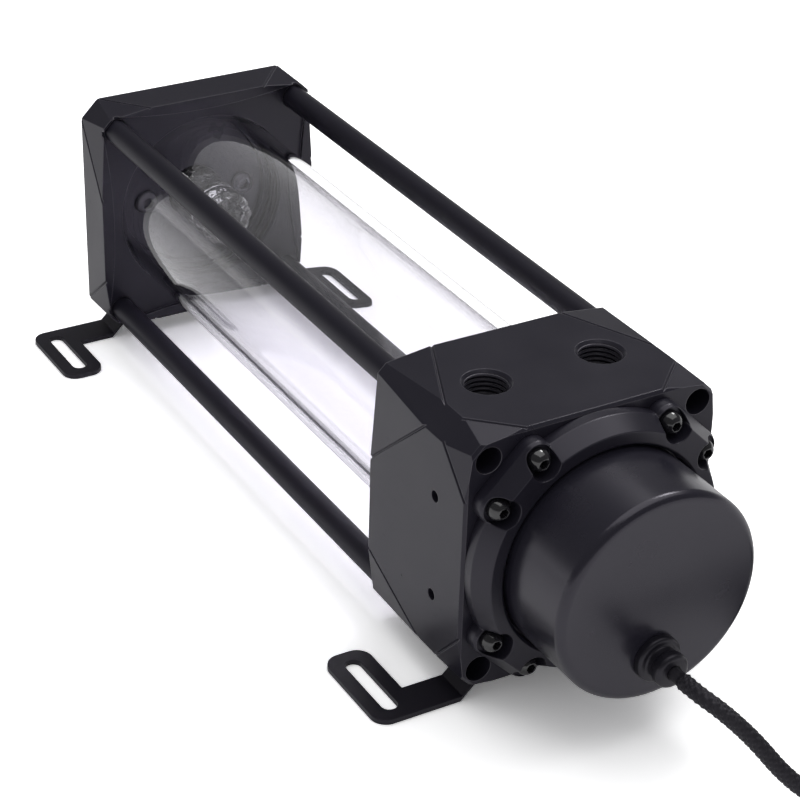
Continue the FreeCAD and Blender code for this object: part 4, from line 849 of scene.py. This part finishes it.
@dataclass
class Lead:
    """The sleeved lead: out of the grommet, down, along the floor and into a neat tied coil.

    route holds its control points before the coil and ending those after it, as the solid's
    source has them. outer, over and inner are the radii of the coil's three turns, rest and top
    the heights of their middles, and last the radius at which the lead winds in. angles are the
    coil's first and end angle and step, and climb, drop and wind_in the angles over which it
    changes turns. strands, pitch and relief are the braid's. The sleeve starts at sleeve_start from
    the grommet, over sleeve_run, with a flare of that height and width, flare_after further on. The
    tie reaches tie_half either way. All but exit, length and diameter are in millimetres and degrees.
    """

    exit: Point = (0.0, TIP_Y, 26.0 * MM)
    length: float = 0.6
    diameter: float = 4.6 * MM
    route: tuple[Point, ...] = (
        (0.0, -138.25, 26.0), (0.0, -146.45, 26.0), (3.4, -154.6, 23.8), (8.6, -161.2, 17.8),
        (13.2, -167.4, 10.4), (19.0, -173.2, 4.9), (28.0, -176.6, 2.3), (40.0, -177.0, 2.3),
        (52.5, -176.2, 2.3), (65.0, -177.0, 2.3))
    ending: tuple[Point, ...] = (
        (61.4, -156.55, 2.3), (66.5, -163.55, 2.3), (74.5, -167.65, 2.3), (83.5, -168.25, 2.4),
        (90.4, -165.15, 2.9), (92.4, -160.95, 3.5), (92.4, -158.35, 3.5))
    centre: tuple[float, float] = (80.0, -148.7)
    outer: float = 28.3
    inner: float = 23.7
    over: float = 26.0
    last: float = 19.2
    rest: float = 2.3
    top: float = 6.3
    angles: tuple[float, float, float] = (-78.75, 880.0, 22.5)
    climb: Range = (195.0, 265.0)
    drop: Range = (485.0, 555.0)
    wind_in: Range = (835.0, 915.0)
    cut: float = 0.981
    bare: float = 1.9
    sleeve_start: float = 3.0
    sleeve_run: float = 1.2
    flare: float = 0.12
    flare_after: float = 1.0
    flare_width: float = 1.5
    relief: float = 0.45
    pitch: float = 2.0
    strands: int = 8
    around: int = 32
    tie_half: float = 4.0
    tie_thick: float = 0.7
    tie_room: float = 0.3
    tie_lift: float = 0.05

    def coil_points(self) -> np.ndarray:
        """Control points of the coil, sixteen to a turn, in millimetres.

        The first turn lies outside on the floor, the second on top between both lower turns, the
        third inside on the floor, from where the lead winds in to the connector. Between them
        the radius and height go over with smooth steps. A control point lies out by 1 / cut,
        because the spline of order 3 cuts inside it by that.

        Returns:
            The points, one to a row.
        """
        angle = np.arange(*self.angles)

        def go(start: float, end: float) -> np.ndarray:
            """A smooth step over angles, t x t x (3 - 2 t) of the share t between them."""
            share = np.clip((angle - start) / (end - start), 0, 1)
            return share * share * (3 - 2 * share)

        up = go(*self.climb)
        down = go(*self.drop)
        radius = self.outer + (self.over - self.outer) * up + (self.inner - self.over) * down
        radius = radius + (self.last - self.inner) * go(*self.wind_in)
        height = self.rest + (self.top - self.rest) * (up - down)
        turn = np.radians(angle)
        out = radius / self.cut
        return np.stack([self.centre[0] + out * np.cos(turn), self.centre[1] + out * np.sin(turn), height], -1)

    def control_points(self) -> np.ndarray:
        """All control points in metres: the route, the coil and the way into the connector."""
        return np.concatenate([self.route, self.coil_points(), self.ending]) * MM

    def centreline(self) -> np.ndarray:
        """Reads the lead's smooth line from its spline.

        Returns:
            Points a step apart, one to a row.
        """
        points = self.control_points()
        data = bpy.data.curves.new("lead_line", "CURVE")
        data.dimensions = "3D"
        data.resolution_u = 12
        spline = data.splines.new("NURBS")
        spline.points.add(len(points) - 1)
        spline.points.foreach_set("co", np.concatenate([points, np.ones((len(points), 1))], 1).ravel())
        spline.order_u = 3
        spline.use_endpoint_u = True
        holder = link("lead_line", data)
        mesh = bpy.data.meshes.new_from_object(holder)
        line = np.empty(len(mesh.vertices) * 3)
        mesh.vertices.foreach_get("co", line)
        line = line.reshape(-1, 3)
        bpy.data.objects.remove(holder)
        bpy.data.curves.remove(data)
        bpy.data.meshes.remove(mesh)
        far = np.concatenate([[0], np.cumsum(np.linalg.norm(np.diff(line, axis=0), axis=1))])
        LOG.info("lead line is %.4f m long", far[-1])
        even = np.linspace(0, far[-1], int(far[-1] / LINE_STEP) + 1)
        return np.stack([np.interp(even, far, line[:, part]) for part in range(3)], -1)

    def tube(self, line: np.ndarray, radius: np.ndarray, columns: int) -> np.ndarray:
        """A tube round a line.

        Across the line, the side is (line x up) and the lift is (side x line). A point goes to
        line + radius (side cos t + lift sin t).

        Args:
            line: the middle line.
            radius: the radius at each row and column.
            columns: points round the tube.

        Returns:
            A grid of points.
        """
        run = np.gradient(line, axis=0)
        run /= np.linalg.norm(run, axis=1, keepdims=True)
        side = np.cross(run, (0, 0, 1))
        side /= np.linalg.norm(side, axis=1, keepdims=True)
        lift = np.cross(side, run)
        t = np.linspace(0, 2 * math.pi, columns, endpoint=False)[None, :, None]
        return line[:, None] + radius[..., None] * (side[:, None] * np.cos(t) + lift[:, None] * np.sin(t))

    def braid(self, line: np.ndarray) -> np.ndarray:
        """The sleeve's radius along and round the line.

        Two sets of strands wind either way at strands x t -+ place / pitch. Each stands proud by
        the size of the cosine across it, and they go over and under by turns. The flare is a bell,
        e to the power of minus the square of the way from its middle.

        Args:
            line: the lead's smooth line.

        Returns:
            The radius at each row and column.
        """
        far = np.arange(len(line))[:, None] * LINE_STEP
        t = np.linspace(0, 1, self.around, endpoint=False)[None, :]
        one = self.strands * t + far / (self.pitch * MM)
        other = self.strands * t - far / (self.pitch * MM)
        over = 0.5 + 0.5 * np.sin(math.pi * (one + other)) * np.sin(math.pi * (one - other))
        ridge = over * np.abs(np.cos(math.pi * one)) + (1 - over) * np.abs(np.cos(math.pi * other))
        radius = self.diameter / 2 - self.relief * MM * (1 - ridge)
        start = np.clip((far - self.sleeve_start * MM) / (self.sleeve_run * MM), 0, 1)
        middle = (self.sleeve_start + self.flare_after) * MM
        flare = np.exp(-((far - middle) / (self.flare_width * MM)) ** 2) * self.flare * MM
        return (self.bare * MM) * (1 - start) + (radius + flare) * start

    def tie(self) -> bpy.types.Object:
        """The strap that holds the coil's turns, a flat loop round them at the coil's far side.

        The loop's middle goes round a box of the turns' width and height with round corners, as
        a superellipse of power 3, and is carried along the coil over the strap's width.

        Returns:
            The strap.
        """
        t = np.linspace(0, 2 * math.pi, 64, endpoint=False)
        width = (self.outer - self.inner + self.diameter / MM) / 2 + self.tie_room
        tall = (self.top + self.rest) / 2
        shape = (np.abs(np.cos(t)) ** 3 + np.abs(np.sin(t)) ** 3) ** (-1 / 3)
        loops = []
        for thick, way in ((0.0, -1), (0.0, 1), (self.tie_thick, 1), (self.tie_thick, -1)):
            radius = self.over + (width - thick) * shape * np.cos(t)
            height = tall + self.tie_lift + (tall - thick) * shape * np.sin(t)
            angle = math.pi / 2 + way * self.tie_half / self.over
            loops.append(np.stack([self.centre[0] + radius * math.cos(angle),
                                   self.centre[1] + radius * math.sin(angle), height], -1) * MM)
        return surface("lead_tie", [np.array(loops)], wrap_rows=True)

    def build(self) -> None:
        line = self.centreline()
        sheet = self.tube(line, self.braid(line), self.around)
        ends = [np.broadcast_to(line[place], (1, self.around, 3)) for place in (0, -1)]
        sheet = np.concatenate([ends[0], sheet, ends[1]])
        piece = surface("lead_sleeve", [sheet], sharp=180.0)
        lead_map(piece, line, self.around)
        settle(piece, SLEEVE_BLACK, "sleeve_black", "pump_lead", "lead_coil", "lead_tail")
        connector = dressed("lead_connector", CONNECTOR_BLACK, "connector_black")
        tie = settle(self.tie(), CONNECTOR_BLACK, "sleeve_black")


def lead_map(piece: bpy.types.Object, line: np.ndarray, columns: int) -> None:
    """Gives a tube a map whose first part is the share round it and second the way along it.

    Point 0 is the first end's middle, and row after row of columns points follow it. A face that
    spans the seam has 1 added to its low shares.

    Args:
        piece: the tube.
        line: the line that it follows.
        columns: points round it.
    """
    mesh = piece.data
    number = np.arange(len(mesh.vertices)) - 1
    row = np.clip(number // columns, 0, len(line) - 1)
    share = (number % columns) / columns
    corner = np.empty(len(mesh.loops), int)
    mesh.loops.foreach_get("vertex_index", corner)
    around = share[corner]
    count = np.empty(len(mesh.polygons), int)
    mesh.polygons.foreach_get("loop_total", count)
    owner = np.repeat(np.arange(len(count)), count)
    low = np.full(len(count), 2.0)
    np.minimum.at(low, owner, around)
    high = np.full(len(count), -1.0)
    np.maximum.at(high, owner, around)
    across = (high - low > 0.5)[owner] & (around < 0.5)
    layer = mesh.uv_layers.new(name="lead")
    values = np.stack([around + across, row[corner] * LINE_STEP], -1)
    layer.data.foreach_set("uv", values.astype(np.float32).ravel())


@dataclass
class PumpMotor:
    """The motor housing, its grommet, the clamp ring and the ring's screws.

    Two screws share a lobe, one at (far, near) and one at (near, far) from the axis. grommet_line
    holds the grommet's corners: the radius, the way out from the housing's end and the corner's
    own radius, in millimetres.
    """

    screw: ButtonScrew = ButtonScrew(3.1 * MM, 3.8 * MM, 2.3 * MM, 1.5 * MM, 8.0 * MM)
    far: float = 30.6 * MM
    near: float = 19.7 * MM
    seat: float = FRONT_Y - 3.4 * MM
    grommet_z: float = 26.0 * MM
    grommet_line: tuple[Point, ...] = (
        (2.05, 8.0, 0.0), (4.85, 8.0, 1.3), (4.85, 5.2, 0.6), (4.3, 4.4, 0.4), (4.3, 2.4, 0.6),
        (6.45, 2.4, 1.0), (6.45, 0.0, 0.2), (4.4, 0.0, 0.0), (4.4, -2.4, 0.0), (5.6, -2.4, 0.0),
        (5.6, -3.5, 0.3), (2.05, -3.5, 0.0), (2.05, 8.0, 0.0))
    ring_edge: float = 0.25 * MM
    ring_sharp: float = 18.0

    def screws(self) -> None:
        """The eight domed screws in the ring's pockets."""
        sheets = [self.screw.sheet(sx * across, self.seat, AXIS_Z + sz * rise, -1.0)
                  for sx in (-1, 1) for sz in (-1, 1)
                  for across, rise in ((self.far, self.near), (self.near, self.far))]
        settle(surface("clamp_screw_set", sheets), SCREW_BLACK, "screw_black", "clamp_screws")

    def grommet(self) -> None:
        """The rubber grommet: a rounded flange, a neck, a rounded collar, and its rim inside the wall."""
        line = rounded(self.grommet_line)[:-1] * MM
        line[:, 1] = PUMP_END_Y - line[:, 1]
        sheet = turned(line, (0.0, self.grommet_z))
        settle(surface("cable_grommet_skin", [sheet], wrap_rows=True), GROMMET_RUBBER, "grommet_rubber",
               "cable_grommet")

    def build(self) -> None:
        """Makes the pump's visible pieces."""
        dressed("pump_housing", HOUSING_BLACK, "housing_black")
        dressed("clamp_ring", RING_BLACK, "ring_black", self.ring_edge, self.ring_sharp)
        self.grommet()
        self.screws()


@dataclass
class Block:
    """The square block with its threaded ports.

    A thread winds from low to high, never above mouth. Its section is as wide as foot at the wall
    and as crown at the crest, in turns, it is sunk a little into the wall, and it fades away at
    its ends over an angle.
    """

    port_y: float = -73.75 * MM
    bore: float = 5.9 * MM
    crest: float = 5.45 * MM
    pitch: float = 1.337 * MM
    low: float = 66.8 * MM
    high: float = 79.5 * MM
    mouth: float = 79.7 * MM
    foot: float = 0.84
    crown: float = 0.16
    sunk: float = 0.02 * MM
    fade: float = 1.5
    steps: int = 48

    def thread(self, side: int) -> np.ndarray:
        """One port's thread as a ridge that winds down the bore.

        Its section has four corners, two on the wall and two at the crest. At angle t the section
        stands at low + pitch t / (2 pi).

        Args:
            side: -1 for the left port, 1 for the right one.

        Returns:
            A grid of points, one section to a row.
        """
        turns = (self.high - self.low) / self.pitch
        angle = np.linspace(0, 2 * math.pi * turns, int(turns * self.steps))[:, None]
        fade = np.clip(np.minimum(angle, angle[-1] - angle) / self.fade, 0.0, 1.0)
        radius = self.bore + self.sunk - (self.bore - self.crest) * fade * np.array([[0.0, 1.0, 1.0, 0.0]])
        section = np.array([[-self.foot, -self.crown, self.crown, self.foot]]) / 2
        rise = self.low + self.pitch * (angle / (2 * math.pi) + section)
        return np.stack([side * PAIR_X + radius * np.cos(angle), self.port_y + radius * np.sin(angle),
                         np.minimum(rise, self.mouth)], -1)

    def build(self) -> None:
        """Makes the block and its threads."""
        dressed("pump_top", BLOCK_BLACK, "block_black")
        piece = surface("port_threads", [self.thread(-1), self.thread(1)], sharp=25.0)
        settle(piece, BLOCK_BLACK, "block_black")


@dataclass
class Reservoir:
    """The clear tube and the four tie rods."""

    radius: float = 30.0 * MM
    wall: float = 3.0 * MM
    start: float = -59.95 * MM
    end: float = 130.25 * MM
    rim: float = 0.15 * MM
    edge: float = 0.4 * MM
    rod_radius: float = 3.75 * MM
    rod_start: float = -52.95 * MM
    rod_end: float = 126.45 * MM
    tube_segments: int = 192
    rod_segments: int = 48

    def tube(self) -> None:
        """The tube's wall as one closed turned surface with polished edges."""
        inner = self.radius - self.wall
        corners = [(inner, 0.0, 0.0), (inner, self.start, self.rim), (self.radius, self.start, self.edge),
                   (self.radius, self.end, self.edge), (inner, self.end, self.rim), (inner, 0.0, 0.0)]
        line = rounded(corners)[:-1]
        sheet = turned(line, (0.0, AXIS_Z), self.tube_segments)
        settle(surface("reservoir_tube_skin", [sheet], wrap_rows=True), TUBE_CLEAR, "tube_clear",
               "reservoir_tube")

    def rods(self) -> None:
        """The four rods, each with rounded ends."""
        line = rounded([(0.0, self.rod_start, 0.0), (self.rod_radius, self.rod_start, self.edge),
                        (self.rod_radius, self.rod_end, self.edge), (0.0, self.rod_end, 0.0)])
        for side, across in (("left", -1), ("right", 1)):
            for level, rise in (("upper", 1), ("lower", -1)):
                centre = (across * ROD_OFFSET, AXIS_Z + rise * ROD_OFFSET)
                piece = surface(f"rod_{level}_{side}", [turned(line, centre, self.rod_segments)])
                settle(piece, ROD_BLACK, "rod_black", f"tie_rod_{level}_{side}")

    def build(self) -> None:
        """Makes the tube and rods."""
        self.tube()
        self.rods()


@dataclass
class EndCap:
    """The end cap with its insert, two screws and clear light plug, and the screws in the rods' ends.

    plug_line holds the plug's corners from its bore to its end, and plug_bore those of the bore:
    the radius, the place along Y and the corner's own radius, in millimetres. The plug's flutes
    begin at flute_start and are full after flute_run, and at flute_reach from the axis. They take
    the share bite from the radius, and the end face goes back by dish.
    """

    screw: ButtonScrew = ButtonScrew(3.8 * MM, 2.2 * MM, 3.3 * MM, 2.0 * MM, 5.0 * MM)
    face_y: float = 132.25 * MM
    plug_bore: tuple[tuple[float, float], ...] = ((0.0, 117.45), (2.6, 117.45), (2.6, 135.45))
    plug_line: tuple[Point, ...] = (
        (2.6, 135.45, 0.0), (11.0, 135.45, 0.1), (11.0, 134.25, 0.1), (9.0, 134.25, 0.0),
        (9.0, 117.25, 0.1), (8.2, 117.25, 0.1), (8.2, 115.25, 0.1), (9.0, 115.25, 0.1),
        (9.0, 108.75, 0.3), (7.5, 107.25, 0.3), (0.0, 109.25, 0.0))
    segments: int = 144
    scallops: int = 12
    flute_start: float = 110.6 * MM
    flute_run: float = 2.0 * MM
    flute_reach: float = 6.5 * MM
    bite: float = 0.05
    dish: float = 0.6 * MM

    def plug(self) -> None:
        """The light plug: a grooved clear rod with a scalloped, dished end.

        Near the end a flute is (1 - |cos(scallops t / 2)|). The radius is less by a share of it, and
        the end face stands back by it.
        """
        outside = rounded(self.plug_line) * MM
        line = np.concatenate([np.array(self.plug_bore) * MM, outside[1:]])
        sheet = turned(line, (0.0, AXIS_Z), self.segments)
        angle = np.linspace(0, 2 * math.pi, self.segments, endpoint=False)[None, :]
        near = np.clip((self.flute_start - line[:, 1:]) / self.flute_run, 0, 1)
        near = near * np.clip(line[:, :1] / self.flute_reach, 0, 1)
        flute = near * (1 - np.abs(np.cos(self.scallops * angle / 2)))
        narrowed = 1 - self.bite * flute
        sheet[..., 0] *= narrowed
        sheet[..., 1] += self.dish * flute
        sheet[..., 2] = AXIS_Z + (sheet[..., 2] - AXIS_Z) * narrowed
        settle(surface("light_plug_skin", [sheet]), PLUG_CLEAR, "plug_clear", "light_plug")

    def rod_screws(self, node: str, seat: float, facing: float, length: float) -> None:
        """Four flat-headed screws in the ends of the rods.

        Args:
            node: the solid that they stand for.
            seat: the place of the seats under their heads.
            facing: -1 where the heads face the pump's end, 1 where they face out of the cap.
            length: the length below the head.
        """
        screw = ButtonScrew(3.5 * MM, 4.0 * MM, 3.0 * MM, 2.0 * MM, length, dome=False)
        sheets = [screw.sheet(x * ROD_OFFSET, seat, AXIS_Z + z * ROD_OFFSET, facing)
                  for x in (-1, 1) for z in (-1, 1)]
        settle(surface(f"{node}_set", sheets), SCREW_BLACK, "screw_black", node)

    def build(self) -> None:
        """Makes the cap's pieces."""
        dressed("end_cap", BLOCK_BLACK, "block_black")
        dressed("cap_insert", INSERT_BLACK, "insert_metal")
        sheets = [self.screw.sheet(way * PAIR_X, self.face_y, AXIS_Z, -1.0) for way in (-1, 1)]
        settle(surface("insert_screw_set", sheets), INSERT_SCREW_BLACK, "screw_black", "insert_screws")
        self.plug()
        self.rod_screws("rod_screws_front", FRONT_Y + 20.0 * MM, -1.0, 35.0 * MM)
        self.rod_screws("rod_screws_rear", CAP_END_Y - 5.0 * MM, 1.0, 16.0 * MM)


@dataclass
class Feet:
    """The four slotted feet and their screws."""

    screw: ButtonScrew = ButtonScrew(3.8 * MM, 2.2 * MM, 2.5 * MM, 2.0 * MM, 8.0 * MM)
    seat: float = 4.0 * MM
    screw_x: float = 22.0 * MM
    front_y: float = FRONT_Y + 8.6 * MM
    rear_y: float = CAP_END_Y - 5.5 * MM

    def build(self) -> None:
        """Makes the feet and their screws."""
        for place in ("front_left", "front_right", "rear_left", "rear_right"):
            dressed(f"foot_{place}", FOOT_BLACK, "foot_black")
        plain = self.screw.sheet(0.0, 0.0, 0.0, -1.0)
        sheets = [upended(plain, side * self.screw_x, y, self.seat)
                  for side in (-1, 1) for y in (self.front_y, self.rear_y)]
        settle(surface("foot_screw_set", sheets), SCREW_BLACK, "screw_black", "foot_screws")


@dataclass
class Internals:
    """Finishes for the solids that stay as they are: seals, bearing, rotor, stator and board."""

    def build(self) -> None:
        """Gives each of these solids its finish."""
        finishes = {
            "pump_seal": SEAL_RUBBER, "tube_seal_front": SEAL_RUBBER, "tube_seal_rear": SEAL_RUBBER,
            "light_plug_seal": SEAL_RUBBER, "separation_can": STEEL, "bearing_pin": STEEL,
            "bearing_ball": CERAMIC, "bearing_cup": GRAPHITE, "rotor_magnet": MAGNET_GREY,
            "impeller": IMPELLER_PLASTIC, "stator_core": STATOR_STEEL, "stator_windings": COPPER,
            "control_board": BOARD_GREEN, "board_components": COMPONENT_BLACK, "lead_entry": CABLE_BLACK}
        for node, finish in finishes.items():
            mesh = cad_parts[node].data
            mesh.materials.clear()
            mesh.materials.append(finish.material())
            LOG.info("%s: finish %s", node, finish.name)


def main() -> None:
    """Builds the scene in order and notes its size."""
    logging.basicConfig(level=logging.INFO, format="%(message)s")
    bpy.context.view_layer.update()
    for part in (Studio(), Lead(), PumpMotor(), Block(), Reservoir(), EndCap(), Feet(), Internals()):
        part.build()


if __name__ == "__main__":
    main()
